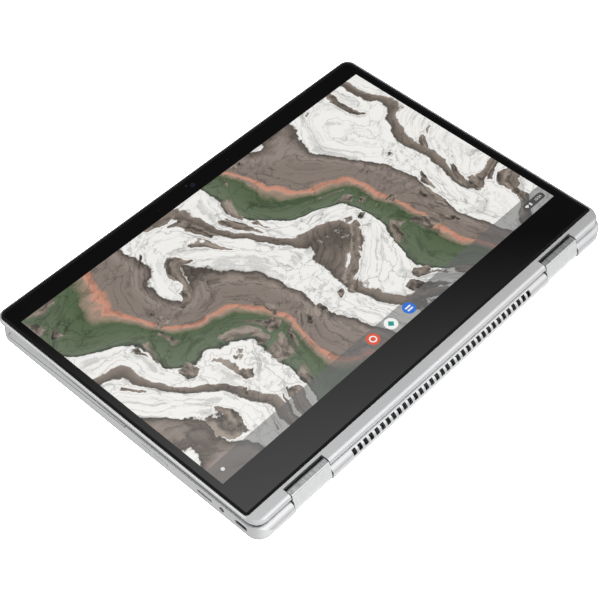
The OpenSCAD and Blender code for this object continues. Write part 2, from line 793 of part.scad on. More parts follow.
// Bracket behind the two buttons, with a switch for each press
module button_bracket() {
    wall = 0.8;
    dome = 0.3;
    x0 = -inner_w / 2 + flange_gap + flange_t + button_travel + 0.05 + dome;
    y0 = rear_y + volume_y - volume_l / 2 - 2;
    y1 = rear_y + power_y + power_l / 2 + 2;
    color("slategray") {
        translate([x0, y0, deck_wall]) cube([wall, y1 - y0, port_z + 1.5 - deck_wall]);
        for (y = [y0 + 1, y1 - 5]) translate([x0, y, deck_wall]) cube([1.8, 4, 0.4]);
        for (y = [volume_y - volume_l / 3, volume_y + volume_l / 3, power_y])
            translate([x0 - dome, rear_y + y, port_z]) rotate([0, 90, 0]) cylinder(r = 0.8, h = dome + eps);
    }
}

// ---- boards and cooling -----------------------------------------------------------------------

board_y0 = kb_y0 + 2;
board_y1 = kb_front - 6;
standoffs = [
    [board_x0 + 5, board_y0 + 5], [board_x1 - 5, board_y0 + 5],
    [board_x0 + 5, board_y1 - 5], [board_x1 - 5, board_y1 - 5]
];

module motherboard() {
    color("darkgreen") difference() {
        union() {
            translate([board_x0, board_y0, board_z]) cube([board_x1 - board_x0, board_y1 - board_y0, board_t]);
            translate([chip_x, chip_y, board_z + board_t + chip_t / 2]) cube([chip_w, chip_w, chip_t], center = true);
            // memory, power stage and connectors
            for (i = [0:3]) translate([chip_x - 16 - 12 * (i % 2), chip_y - 8 + 16 * floor(i / 2), board_z + board_t])
                cube([9, 11, 0.9]);
            for (i = [0:5]) translate([board_x0 + 8 + 7 * i, board_y0 + 14, board_z + board_t]) cube([5, 5, 1.4]);
            translate([board_x0 + 30, board_y1 - 8, board_z + board_t]) cube([24, 4, 1.6]);
            translate([chip_x + 5, board_y1 - 8, board_z + board_t]) cube([12, 4, 1.6]);
        }
        for (p = standoffs) translate([p[0], p[1], board_z - 1]) cylinder(r = 1.2, h = board_t + 2);
    }
}

module board_standoffs() {
    color("gold") for (p = standoffs) translate([p[0], p[1], 0]) {
        translate([0, 0, plate_top]) cylinder(r = 2.2, h = board_z - plate_top);
        translate([0, 0, board_z - eps]) cylinder(r = 1.1, h = board_t + eps + 0.3);
    }
}

module wifi_card() {
    color("seagreen") translate([board_x0 + 8, board_y0 + 34, board_z + board_t]) {
        cube([22, 30, 0.7]);
        translate([3, 4, 0.5]) cube([15, 18, 1.4]);
        for (x = [6, 14]) translate([x, 26, 0.5]) cylinder(r = 1.3, h = 1);
    }
}

spreader_z = board_z + board_t + chip_t;

module heat_spreader() {
    color("peru") {
        translate([chip_x, chip_y, spreader_z]) linear_extrude(pipe_z - spreader_z) rounded_rect(30, 24, 2);
    }
}

// Flat copper pipe from the processor, past the fan and along the fins
module heat_pipe() {
    bend = 9;
    x1 = fan_x - fan_half - 1.4 - pipe_w / 2;
    y1 = fin_y0 + fin_d / 2;
    color("peru") translate([0, 0, pipe_z]) linear_extrude(pipe_t) {
        pipe_run(chip_x - 14, x1 - bend, chip_y);
        translate([x1 - bend, chip_y - bend]) rotate(0) pipe_bend(bend);
        translate([x1 - pipe_w / 2, y1 + bend]) square([pipe_w, chip_y - y1 - 2 * bend]);
        translate([x1 + bend, y1 + bend]) rotate(180) pipe_bend(bend);
        pipe_run(x1 + bend, fan_x + fan_half - 3, y1);
    }
}

module pipe_run(x0, x1, y) {
    translate([x0, y - pipe_w / 2]) square([x1 - x0, pipe_w]);
}

module pipe_bend(r) {
    intersection() {
        difference() {
            circle(r + pipe_w / 2);
            circle(r - pipe_w / 2);
        }
        square(2 * r + pipe_w);
    }
}

module heat_sink() {
    pitch = (fin_w - 0.4) / (fin_count - 1);
    color("lightsteelblue") {
        translate([fan_x - fin_w / 2, fin_y0, pipe_z - 0.5]) cube([fin_w, fin_d, 0.5]);
        for (i = [0:fin_count - 1]) translate([fan_x - fin_w / 2 + i * pitch, fin_y0, fan_z])
            cube([0.4, fin_d, pipe_z - fan_z - 0.3]);
    }
}

module fan_housing() {
    color("dimgray") translate([fan_x, fan_mid_y, fan_z]) {
        difference() {
            linear_extrude(fan_h) rounded_rect(2 * fan_half, 2 * fan_half, 5);
            translate([0, 0, 0.5]) cylinder(r = fan_r + 1, h = fan_h - 1);
            translate([-fan_r + 2, -fan_half - 1, 0.5]) cube([2 * fan_r - 4, fan_half + 1, fan_h - 1]);
            translate([0, 0, 1]) cylinder(r = fan_r - 5, h = fan_h);
            for (a = [45:90:315]) rotate(a) translate([fan_r - 3, 0, -1]) cylinder(r = 3, h = 2);
        }
        cylinder(r = 1, h = fan_h - 0.6);
    }
}

// Hub with a base ring and swept blades, turning on the housing's pin
module fan_impeller() {
    hub_r = 7.5;
    ring_t = 0.5;
    lift = 0.4;
    wheel_h = fan_h - 1 - 2 * lift;
    color("black") translate([fan_x, fan_mid_y, fan_z + 0.5 + lift]) difference() {
        union() {
            cylinder(r = hub_r, h = wheel_h);
            cylinder(r = fan_r - 0.4, h = ring_t);
            for (i = [0:fan_blades - 1]) rotate(i * 360 / fan_blades) translate([hub_r - 0.8, 0, ring_t / 2])
                rotate(24) translate([0, -0.25, 0]) cube([fan_r - hub_r - 1.5, 0.5, wheel_h - ring_t / 2 - 0.15]);
        }
        translate([0, 0, -1]) cylinder(r = 1 + running_gap, h = wheel_h + 2);
    }
}

// ---- battery, speakers and ports --------------------------------------------------------------

module battery_frame() {
    w = 3 * cell_w + 4 * cell_gap;
    color("black") {
        translate([0, battery_mid_y, battery_z]) linear_extrude(battery_tray_t) rounded_rect(w, cell_d + 4, 2);
        for (x = [-w / 2 + 4, w / 2 - 4], y = [-1, 1]) translate([x, battery_mid_y + y * (cell_d / 2 - 4), deck_wall])
            cylinder(r = 2.5, h = battery_z - deck_wall + eps);
    }
}

module battery_cells() {
    z = battery_z + battery_tray_t;
    color("gray") for (i = [-1:1]) translate([i * (cell_w + cell_gap), battery_mid_y, z])
        linear_extrude(min(cell_t, inner_top - z - 0.15)) rounded_rect(cell_w, cell_d, 2);
}

module speaker(x) {
    color("black") translate([x * grille_x, speaker_y, deck_wall + 0.5]) {
        difference() {
            linear_extrude(4.6) rounded_rect(speaker_w, speaker_l, 2);
            translate([0, 0, -1]) linear_extrude(1.6) rounded_rect(speaker_w - 5, speaker_l - 20, 2);
        }
    }
}

module speaker_left() {
    speaker(-1);
}

module speaker_right() {
    speaker(1);
}

module speaker_grilles() {
    hole_pitch = 2.2;
    rows = floor((grille_d - 5) / hole_pitch / 2);
    color("silver") for (x = [-1, 1]) translate([x * grille_x, speaker_y, 0.1]) linear_extrude(grille_t - 0.1)
        difference() {
            rounded_rect(grille_w, grille_d, 1.4);
            for (j = [-rows:rows], i = [-1, 0]) translate([(i + (j % 2 == 0 ? 0.25 : 0.75)) * hole_pitch, j * hole_pitch])
                circle(r = 0.6, $fn = 6);
        }
}

module port_board(x) {
    translate([x * (port_board_x + port_board_w / 2), (port_board_y0 + port_board_y1) / 2, port_board_z])
        linear_extrude(board_t) rounded_rect(port_board_w, port_board_y1 - port_board_y0, 1);
}

module port_board_left() {
    color("darkgreen") port_board(-1);
}

// The right board is cut out round the rectangular socket, which sits half sunk in it
module port_board_right() {
    cut_w = usb_a_w + 2 * shell_t + 0.2;
    color("darkgreen") difference() {
        port_board(1);
        translate([base_w / 2 - usb_a_l - 0.5, rear_y + usb_a_y - cut_w / 2, 0]) cube([usb_a_l + 2, cut_w, port_z]);
    }
}

// Places a port with its mouth at the outer face of the side, facing out along -Z of the child
module port(x, y, z) {
    translate([x * (base_w / 2 - 0.3), rear_y + y, z]) rotate([90, 0, -90 * x]) children();
}

module usb_c_shell() {
    depth = 8.5;
    difference() {
        linear_extrude(depth) stadium(usb_c_w + 2 * shell_t, usb_c_h + 2 * shell_t);
        translate([0, 0, -1]) linear_extrude(depth + 0.4) stadium(usb_c_w, usb_c_h);
    }
    translate([0, 0, depth / 2 + 0.8]) cube([6.6, 0.7, depth - 1.6], center = true);
    // solder foot, which stands on the board
    foot_top = usb_c_h / 2 + shell_t / 2;
    translate([(3 - usb_c_w) / 2, port_board_top - port_z, depth - 3.5])
        cube([usb_c_w - 3, port_z - port_board_top - foot_top, 3]);
}

module usb_c_port_left() {
    color("silver") port(-1, usb_c_y, port_z) usb_c_shell();
}

module usb_c_port_right() {
    color("silver") port(1, usb_c_y, port_z) usb_c_shell();
}

usb_a_l = 10;
usb_a_z = port_z - 0.6;

module usb_a_port() {
    outer_w = usb_a_w + 2 * shell_t;
    outer_h = usb_a_h + 2 * shell_t;
    color("silver") port(1, usb_a_y, usb_a_z) {
        difference() {
            translate([0, 0, usb_a_l / 2]) cube([outer_w, outer_h, usb_a_l], center = true);
            translate([0, 0, usb_a_l / 2 - 0.5]) cube([usb_a_w, usb_a_h, usb_a_l], center = true);
        }
        translate([0, usb_a_h / 4, usb_a_l / 2 + 0.6]) cube([usb_a_w - 1.6, 1.6, usb_a_l - 1.4], center = true);
        // ears that lie on the board, beside the cut
        for (x = [-1, 1]) translate([x * (outer_w / 2 + 0.6), port_board_top - usb_a_z + 0.15, usb_a_l - 3])
            cube([1.4, 0.3, 4], center = true);
    }
}

module headset_jack() {
    body_l = 11;
    color("black") port(-1, jack_y, port_z) difference() {
        union() {
            translate([0, 0, side_wall - 0.25]) cylinder(d = jack_d + 1.4, h = 1.2);
            translate([0, 0, side_wall + body_l / 2]) cube([6.6, 5, body_l - 1], center = true);
            translate([0, -(port_z - port_board_top) / 2, side_wall + body_l / 2])
                cube([5, port_z - port_board_top, 6], center = true);
        }
        translate([0, 0, -1]) cylinder(d = jack_d, h = body_l);
    }
}

module card_reader() {
    body_l = 11;
    color("silver") port(-1, card_y, port_z) difference() {
        union() {
            translate([0, 0, side_wall + body_l / 2 - 0.2]) cube([card_w + 1.6, card_h + 1, body_l], center = true);
            translate([0, -(port_z - port_board_top) / 2, side_wall + body_l / 2]) cube([9, port_z - port_board_top, 5], center = true);
        }
        translate([0, 0, body_l / 2]) cube([card_w, card_h, body_l], center = true);
    }
}

// ---- hinge ------------------------------------------------------------------------------------

// Outer tangent between circle a of radius ra and circle b of radius rb, on the side s of a -> b
function tangent(a, ra, b, rb, s) =
    let (d = norm(b - a), heading = atan2(b[1] - a[1], b[0] - a[0]), turn = heading + s * acos((ra - rb) / d))
    [a + ra * [cos(turn), sin(turn)], b + rb * [cos(turn), sin(turn)]];

// Barrel section in Y and Z about the keyboard half's axis: round below and flat on top
module barrel_section(g) {
    top = [barrel_half - barrel_edge_r, axis_gap + barrel_top - barrel_edge_r];
    side = tangent([0, 0], barrel_r, top, barrel_edge_r, -1);
    circle(barrel_r - g);
    polygon([
        [side[0][0] - g, side[0][1]], [side[1][0] - g, side[1][1]],
        [top[0], top[1] + barrel_edge_r - g], [-top[0], top[1] + barrel_edge_r - g],
        [g - side[1][0], side[1][1]], [g - side[0][0], side[0][1]]
    ]);
    for (y = [-1, 1]) translate([y * top[0], top[1]]) circle(barrel_edge_r - g);
}

gear_pitch_r = axis_gap / 6;
gear_module = 2 * gear_pitch_r / gear_teeth;
gear_tip_r = gear_pitch_r + 0.85 * gear_module;
gear_root_r = gear_pitch_r - 1.15 * gear_module;
gear_base_r = gear_pitch_r * cos(20);
gear_backlash = 0.06;
gear_box_l = gear_w + 0.6;
gear_box_x = barrel_x0 + barrel_l - barrel_cap_t - gear_box_l;
gear_box_half = gear_tip_r + 0.15;

// Angle in degrees between an involute's foot and its point at radius r
function involute(r) = let (t = sqrt(max(0, pow(r / gear_base_r, 2) - 1))) t * 180 / PI - atan(t);
function half_tooth(r) =
    (PI * gear_module - gear_backlash) / (4 * gear_pitch_r) * 180 / PI + involute(gear_pitch_r) - involute(r);

// Spur gear with involute flanks, one tooth pointing along +Y of the outline when turned by 0
module gear_outline() {
    radii = [gear_root_r, gear_base_r, gear_pitch_r, gear_tip_r];
    flank = [for (r = radii) [r, half_tooth(max(r, gear_base_r))]];
    points = [for (i = [0:gear_teeth - 1]) each concat(
        [for (p = flank) p[0] * [sin(i * 360 / gear_teeth - p[1]), cos(i * 360 / gear_teeth - p[1])]],
        [for (k = [3:-1:0]) flank[k][0] * [sin(i * 360 / gear_teeth + flank[k][1]), cos(i * 360 / gear_teeth + flank[k][1])]]
    )];
    polygon(points);
}

// Gear n of the train, counted from 0 at the keyboard half's axis, in one barrel
module train_gear(n) {
    turn = n % 2 == 0 ? 0 : 180 / gear_teeth;
    translate([gear_box_x + 0.3, axis_y, base_axis_z + n * axis_gap / 3]) rotate([90, 0, 90])
        linear_extrude(gear_w) rotate(turn) gear_outline();
}

module both_sides() {
    for (side = [0, 1]) mirror([side, 0, 0]) children();
}

module x_rod(x0, x1, z, r) {
    translate([x0, axis_y, z]) rotate([0, 90, 0]) cylinder(r = r, h = x1 - x0);
}

module hinge_barrel() {
    color("gainsboro") {
        difference() {
            translate([barrel_x0 + barrel_l / 2, axis_y, base_axis_z]) along_x(barrel_l) barrel_section(0);
            x_rod(barrel_x0 - 1, gear_box_x + 1, base_axis_z, base_shaft_r + running_gap);
            x_rod(barrel_x0 - 1, gear_box_x + 1, lid_axis_z, lid_shaft_r + running_gap);
            translate([gear_box_x, axis_y - gear_box_half, base_axis_z - gear_box_half])
                cube([gear_box_l + barrel_cap_t + 1, 2 * gear_box_half, axis_gap + 2 * gear_box_half]);
        }
        for (n = [1, 2]) x_rod(gear_box_x - 0.5, gear_box_x + gear_box_l - 0.1, base_axis_z + n * axis_gap / 3, idler_pin_r);
    }
}

module hinge_barrel_left() {
    mirror([1, 0, 0]) hinge_barrel();
}

module hinge_barrel_right() {
    hinge_barrel();
}

module barrel_caps() {
    half = gear_box_half - 0.1;
    color("gainsboro") both_sides() translate([gear_box_x + gear_box_l, axis_y - half, base_axis_z - half])
        cube([barrel_cap_t, 2 * half, axis_gap + 2 * half]);
}

module idler_gears(n) {
    color("goldenrod") both_sides() difference() {
        train_gear(n);
        x_rod(gear_box_x, gear_box_x + gear_box_l, base_axis_z + n * axis_gap / 3, idler_pin_r + running_gap);
    }
}

module lower_idler_gears() {
    idler_gears(1);
}

module upper_idler_gears() {
    idler_gears(2);
}

// Shaft with its gear on one end and its leaf on the other
shaft_x0 = notch_x0 - 12;

module base_hinge() {
    leaf_y0 = notch_wall_y + 1;
    color("dimgray") {
        x_rod(shaft_x0, gear_box_x + 0.1, base_axis_z, base_shaft_r);
        x_rod(gear_box_x, gear_box_x + 0.4, base_axis_z, gear_root_r);
        train_gear(0);
        difference() {
            union() {
                // knuckle round the shaft, arm and leaf
                x_rod(shaft_x0, leaf_x1, base_axis_z, base_shaft_r + 0.9);
                translate([shaft_x0, axis_y, base_axis_z - base_shaft_r - 0.9])
                    cube([leaf_x1 - shaft_x0, leaf_y0 - axis_y + 2, 1.6]);
                translate([leaf_x1 - leaf_w, leaf_y0, deck_wall]) cube([leaf_w, 13, 1.3]);
                translate([shaft_x0, leaf_y0, deck_wall]) cube([leaf_x1 - shaft_x0, 2, base_axis_z - base_shaft_r + 0.7 - deck_wall]);
            }
            for (x = [4, 11]) translate([leaf_x1 - leaf_w + x, leaf_y0 + 7, deck_wall - 1]) cylinder(r = 1.1, h = 4);
        }
    }
}

module base_hinge_left() {
    mirror([1, 0, 0]) base_hinge();
}

module base_hinge_right() {
    base_hinge();
}

// ---- screen half ------------------------------------------------------------------------------

glass_w = case_w - 2 * glass_side_rim;
glass_y1 = lid_front - glass_rim;
glass_y0 = axis_y + glass_hinge_gap;
glass_d = glass_y1 - glass_y0;
lid_m = 4.2;
lid_floor = lid_z + lid_wall;
lid_hollow_top = glass_top - glass_t;
panel_w = glass_w - 2 * panel_side;
panel_y1 = glass_y1 - panel_margin;
panel_y0 = glass_y0 + panel_chin;
panel_d = panel_y1 - panel_y0;
panel_z = lid_hollow_top - panel_t - 0.1;

module lid_section() {
    back_r = lid_t - lid_rim_h;
    rim_r = min(lid_edge_r, glass_rim - 0.1, glass_side_rim - 0.1);
    difference() {
        square([lid_m, lid_t]);
        translate([lid_m - back_r, 0]) edge_round(back_r);
        translate([lid_m - rim_r, lid_t]) mirror([0, 1]) edge_round(rim_r);
    }
}

module lid_form() {
    translate([0, 0, lid_z]) intersection() {
        edged_slab(case_w, rear_y - 1, lid_front, lid_t, lid_corner_r, lid_m) {
            lid_section();
            lid_section();
        }
        rear_form(case_w, lid_t, axis_y, lid_front);
    }
}

// Outline of the gasket round the glass, grown by g: nearly square beside the hinge
module glass_outline(g) {
    r = lid_corner_r - glass_rim + g;
    rear_r = max(0.8, 2.4 + g);
    w = glass_w + 2 * g;
    y0 = glass_y0 - g;
    y1 = glass_y1 + g;
    translate([0, (y0 + y1) / 2]) square([w - 2 * r, y1 - y0], center = true);
    translate([0, (y0 + rear_r + y1 - r) / 2]) square([w, y1 - r - y0 - rear_r], center = true);
    for (x = [-1, 1]) {
        translate([x * (w / 2 - r), y1 - r]) circle(r);
        translate([x * (w / 2 - rear_r), y0 + rear_r]) circle(rear_r);
        translate([x * (w / 2 - (r + rear_r) / 2) - (r - rear_r) / 2, y0]) square([r - rear_r, rear_r]);
    }
}

module lid_cover() {
    channel_x1 = notch_x0 - 1.4;
    color("silver") difference() {
        lid_form();
        translate([0, 0, glass_top - glass_t - 0.05]) linear_extrude(glass_t + 1) glass_outline(0.05);
        translate([0, (glass_y0 + glass_y1) / 2, lid_floor]) linear_extrude(lid_t)
            rounded_rect(glass_w - 2 * glass_ledge, glass_d - 2 * glass_ledge, 4);
        hinge_notches(lid_notch_y, lid_z - 1, glass_top + 1);
        // channels and bores of the hinge shafts
        both_sides() {
            translate([shaft_x0 - 0.3, axis_y - lid_shaft_r - 0.3, lid_axis_z - lid_shaft_r - 0.3])
                cube([channel_x1 - shaft_x0 + 0.3, glass_y0 + glass_ledge + 3 - axis_y, 2 * lid_shaft_r + 0.3]);
            x_rod(shaft_x0, notch_x0 + 1, lid_axis_z, lid_shaft_r + 0.2);
        }
    }
}

lid_leaf_l = 60;
lid_leaf_x1 = notch_x0 - 1.8;
lid_leaf_x0 = lid_leaf_x1 - lid_leaf_l;

module lid_hinge() {
    leaf_y0 = glass_y0 + glass_ledge + 0.3;
    leaf_t = 1.1;
    arm_z = lid_axis_z - lid_shaft_r;
    color("dimgray") {
        x_rod(shaft_x0, gear_box_x + 0.1, lid_axis_z, lid_shaft_r);
        x_rod(gear_box_x, gear_box_x + 0.4, lid_axis_z, gear_root_r);
        train_gear(3);
        translate([shaft_x0, axis_y - 0.5, arm_z]) cube([lid_leaf_x1 - shaft_x0, leaf_y0 - axis_y + 1.5, leaf_t]);
        difference() {
            translate([lid_leaf_x0, leaf_y0, lid_floor]) cube([lid_leaf_l, 7, arm_z + leaf_t - lid_floor]);
            for (x = [5, 20, 35]) translate([lid_leaf_x0 + x, leaf_y0 + 3.5, lid_floor - 1]) cylinder(r = 1.1, h = 5);
        }
    }
}

module lid_hinge_left() {
    mirror([1, 0, 0]) lid_hinge();
}

module lid_hinge_right() {
    lid_hinge();
}

module display_glass() {
    color([0.06, 0.06, 0.07]) translate([0, 0, glass_top - glass_t]) linear_extrude(glass_t)
        glass_outline(-gasket_w - 0.05);
}

module display_gasket() {
    color([0.1, 0.1, 0.1]) translate([0, 0, glass_top - glass_t]) linear_extrude(glass_t) difference() {
        glass_outline(0);
        glass_outline(-gasket_w);
    }
}

module lcd_panel() {
    color("black") translate([0, (panel_y0 + panel_y1) / 2, panel_z]) linear_extrude(panel_t) rounded_rect(panel_w, panel_d, 1);
}

// Foam strips between the panel and the lid's back
module panel_foam() {
    color("black") for (x = [-1, 1]) translate([x * (panel_w / 2 - 6), (panel_y0 + panel_y1) / 2, (lid_floor + panel_z) / 2])
        cube([6, panel_d - 10, panel_z - lid_floor], center = true);
}

module camera_module() {
    y = (panel_y1 + glass_y1 - glass_ledge) / 2;
    h = lid_hollow_top - lid_floor - 0.1;
    color("black") translate([0, y, lid_floor]) difference() {
        union() {
            translate([0, 0, 0.5]) cube([60, 5, 1], center = true);
            translate([0, 0, h / 2]) cube([7, 6, h], center = true);
            translate([-6, 0, 0.9]) cylinder(r = 1, h = h - 0.9);
        }
        translate([0, 0, h - 0.6]) cylinder(r = 2.2, h = 1);
    }
}

module display_board() {
    y0 = glass_y0 + glass_ledge + 1;
    w = 2 * (lid_leaf_x0 - 9.85);
    color("darkgreen") translate([-w / 2, y0, lid_floor]) cube([w, 6.5, 1]);
    color("black") translate([-w / 4, y0 + 1, lid_floor + 0.9]) cube([0.3 * w, 3, 1]);
}

module antennas() {
    y = (panel_y1 + glass_y1 - glass_ledge) / 2;
    color("goldenrod") for (x = [-1, 1]) translate([x * (glass_w / 2 - 71.5), y, lid_floor + 0.4])
        cube([46, 6, 0.8], center = true);
}

module lid_magnets() {
    y = (panel_y1 + glass_y1 - glass_ledge) / 2;
    color("gray") for (x = [-1, 1]) translate([x * (glass_w / 2 - 24), y, lid_floor + 1]) cube([18, 4, 2], center = true);
}

top_case();
bottom_cover();
rubber_feet();
bottom_screws();
keyboard_frame();
keyboard_plate();
function_keys();
number_keys();
upper_letter_keys();
home_letter_keys();
lower_letter_keys();
bottom_keys();
arrow_keys();
enter_key();
space_bar();
touchpad();
touchpad_bracket();
power_button();
volume_rocker();
button_bracket();
motherboard();
board_standoffs();
wifi_card();
heat_spreader();
heat_pipe();
heat_sink();
fan_housing();
fan_impeller();
battery_frame();
battery_cells();
speaker_left();
speaker_right();
speaker_grilles();
port_board_left();
port_board_right();
usb_c_port_left();
headset_jack();
card_reader();
usb_c_port_right();
usb_a_port();
base_hinge_left();
base_hinge_right();
hinge_barrel_left();
hinge_barrel_right();
barrel_caps();
lower_idler_gears();
upper_idler_gears();
lid_hinge_left();
lid_hinge_right();
lid_cover();
display_glass();
display_gasket();
lcd_panel();
panel_foam();
camera_module();
display_board();
antennas();
lid_magnets();
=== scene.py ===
"""Looks of a fourteen-inch convertible laptop, folded right round and lying on its keyboard deck."""

import json
import math

import bmesh
import bpy
from mathutils import Matrix, Quaternion, Vector
from mathutils.geometry import tessellate_polygon


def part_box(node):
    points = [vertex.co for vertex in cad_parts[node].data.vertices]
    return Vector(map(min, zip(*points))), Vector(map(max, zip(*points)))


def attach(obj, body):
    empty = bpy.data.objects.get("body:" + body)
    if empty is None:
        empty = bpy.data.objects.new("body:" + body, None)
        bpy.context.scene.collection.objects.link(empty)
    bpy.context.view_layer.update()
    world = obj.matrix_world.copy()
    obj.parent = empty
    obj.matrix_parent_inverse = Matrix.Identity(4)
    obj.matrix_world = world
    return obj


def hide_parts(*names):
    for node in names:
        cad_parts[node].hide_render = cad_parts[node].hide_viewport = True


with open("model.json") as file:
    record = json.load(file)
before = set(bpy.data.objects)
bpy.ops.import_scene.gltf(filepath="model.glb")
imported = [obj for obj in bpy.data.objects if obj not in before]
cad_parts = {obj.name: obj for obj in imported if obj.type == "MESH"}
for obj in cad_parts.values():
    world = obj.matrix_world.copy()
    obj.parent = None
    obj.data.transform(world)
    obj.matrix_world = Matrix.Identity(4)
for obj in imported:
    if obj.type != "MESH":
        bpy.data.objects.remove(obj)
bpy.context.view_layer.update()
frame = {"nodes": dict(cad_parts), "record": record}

MM = 0.001

# ---- places that the rest is worked out from ----

nodes = frame["nodes"]
glass_low, glass_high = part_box("display_glass")
panel_low, panel_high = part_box("lcd_panel")
GLASS_TOP = glass_high.z

# The lit area lies inside the panel, nearer to its free edge than to the hinge
LIT_SIDE = 2.8 * MM
LIT_FREE_EDGE = 4.15 * MM
LIT_W = panel_high.x - panel_low.x - 2 * LIT_SIDE
LIT_D = LIT_W * 9 / 16
lit_y1 = panel_high.y - LIT_FREE_EDGE
lit_y0 = lit_y1 - LIT_D
lit_mid = Vector(((panel_low.x + panel_high.x) / 2, (lit_y0 + lit_y1) / 2, 0))
SHELF_D = 13.2 * MM

# Steps between the flush layers of the screen, top down: glyphs, icons, picture
LAYER = 0.01 * MM


# ---- camera ----

def make_camera():
    """Long lens, looking down on the screen from the corner between the hinge edge and the left side."""
    azimuth = math.radians(-47.29)
    elevation = math.radians(49.80)
    roll = math.radians(0.274)
    distance = 997.3 * MM
    aim = Vector((-24.88 * MM, lit_mid.y - 26.06 * MM, GLASS_TOP))
    back = Vector((
        math.sin(azimuth) * math.cos(elevation),
        -math.cos(azimuth) * math.cos(elevation),
        math.sin(elevation),
    ))
    data = bpy.data.cameras.new("camera")
    data.lens = 96.27
    data.sensor_width = 36
    data.clip_start = 0.05
    camera = bpy.data.objects.new("camera", data)
    camera.location = aim + back * distance
    camera.rotation_mode = "QUATERNION"
    camera.rotation_quaternion = (-back).to_track_quat("-Z", "Y") @ Quaternion((0, 0, 1), roll)
    bpy.context.scene.collection.objects.link(camera)
    bpy.context.scene.camera = camera


# ---- materials: helpers ----

# Places of a colour Mix node's sockets, whose names aren't unique
FACTOR, FIRST, SECOND, MIXED = 0, 6, 7, 2

# What a wave texture turns through in one unit, and how long a brick is at a scale of one
WAVE_RADIANS = 20
BRICK_L = 0.5


def srgb(text):
    """Linear RGBA of an sRGB hex colour such as "c8c9cb"."""
    channels = [int(text[i:i + 2], 16) / 255 for i in (0, 2, 4)]
    linear = [c / 12.92 if c <= 0.04045 else ((c + 0.055) / 1.055) ** 2.4 for c in channels]
    return (*linear, 1)


def grey(level):
    """Linear RGBA of a plain grey."""
    return (level, level, level, 1)


def per_metre(size_mm):
    """Noise scale whose features are about size_mm across."""
    return 1 / (size_mm * MM)


def add(tree, kind, inputs=None, stops=(), **settings):
    """Adds a shader node. An input is a value or a socket to link; stops are those of a colour ramp."""
    made = tree.nodes.new("ShaderNode" + kind)
    for name, value in settings.items():
        setattr(made, name, value)
    for socket, given in (inputs or {}).items():
        if isinstance(given, bpy.types.NodeSocket):
            tree.links.new(given, made.inputs[socket])
        else:
            made.inputs[socket].default_value = given
    if stops:
        elements = made.color_ramp.elements
        elements.remove(elements[1])
        elements[0].position, elements[0].color = stops[0]
        for position, colour in stops[1:]:
            elements.new(position).color = colour
    return made


def blank(name):
    """A new material and its empty node tree."""
    material = bpy.data.materials.new(name)
    material.use_nodes = True
    material.node_tree.nodes.clear()
    return material, material.node_tree


def begun(name):
    """A new material, its node tree and the places on its object, in metres."""
    material, tree = blank(name)
    return material, tree, add(tree, "TexCoord").outputs["Object"]


def covered(material, kind, inputs):
    """The material, with a shader of this kind as its surface."""
    tree = material.node_tree
    shader = add(tree, kind, inputs).outputs[0]
    add(tree, "OutputMaterial", {"Surface": shader})
    return material


# ---- materials of the two shells ----

def blasted_anodised_aluminium():
    """Aluminium, bead blasted and anodised clear: pale, even silver, fine grain, with painted shade that
    darkens narrow slots.
    """
    material, tree, place = begun("blasted_anodised_aluminium")
    # the blasted grain is about 0.1 mm, drawn at 0.45 mm so that it shows
    grain = add(
        tree, "TexNoise", {"Scale": per_metre(0.45), "Detail": 3, "Roughness": 0.6, "Vector": place},
    ).outputs["Fac"]
    cloud = add(tree, "TexNoise", {"Scale": per_metre(45), "Detail": 2, "Vector": place}).outputs["Fac"]
    tone = add(tree, "ValToRGB", {"Fac": cloud}, stops=[(0.3, srgb("d4d5d6")), (0.7, srgb("dadadb"))])
    # painted shade: light hardly gets into slots about 2 mm wide, so ambient occlusion darkens the colour
    # there
    open_sky = add(tree, "AmbientOcclusion", {"Distance": 2.5 * MM}, samples=6).outputs["AO"]
    # painted shade, from 0.08 deep in the slots to 1 in the open
    lit = add(
        tree, "MapRange",
        {"Value": open_sky, "From Min": 0.15, "From Max": 0.55, "To Min": 0.08, "To Max": 1.0},
        interpolation_type="SMOOTHSTEP",
    ).outputs["Result"]
    # the silver tone times the painted shade
    tone_with_painted_shade = add(
        tree, "Mix", {FACTOR: 1.0, FIRST: tone.outputs["Color"], SECOND: lit},
        data_type="RGBA", blend_type="MULTIPLY",
    ).outputs[MIXED]
    rough = add(
        tree, "MapRange",
        {"Value": grain, "From Min": 0.3, "From Max": 0.7, "To Min": 0.42, "To Max": 0.52},
    ).outputs["Result"]
    bump = add(tree, "Bump", {"Strength": 0.12, "Distance": 0.02 * MM, "Height": grain}).outputs["Normal"]
    return covered(material, "BsdfPrincipled", {
        "Metallic": 1, "Base Color": tone_with_painted_shade, "Roughness": rough, "Normal": bump,
    })


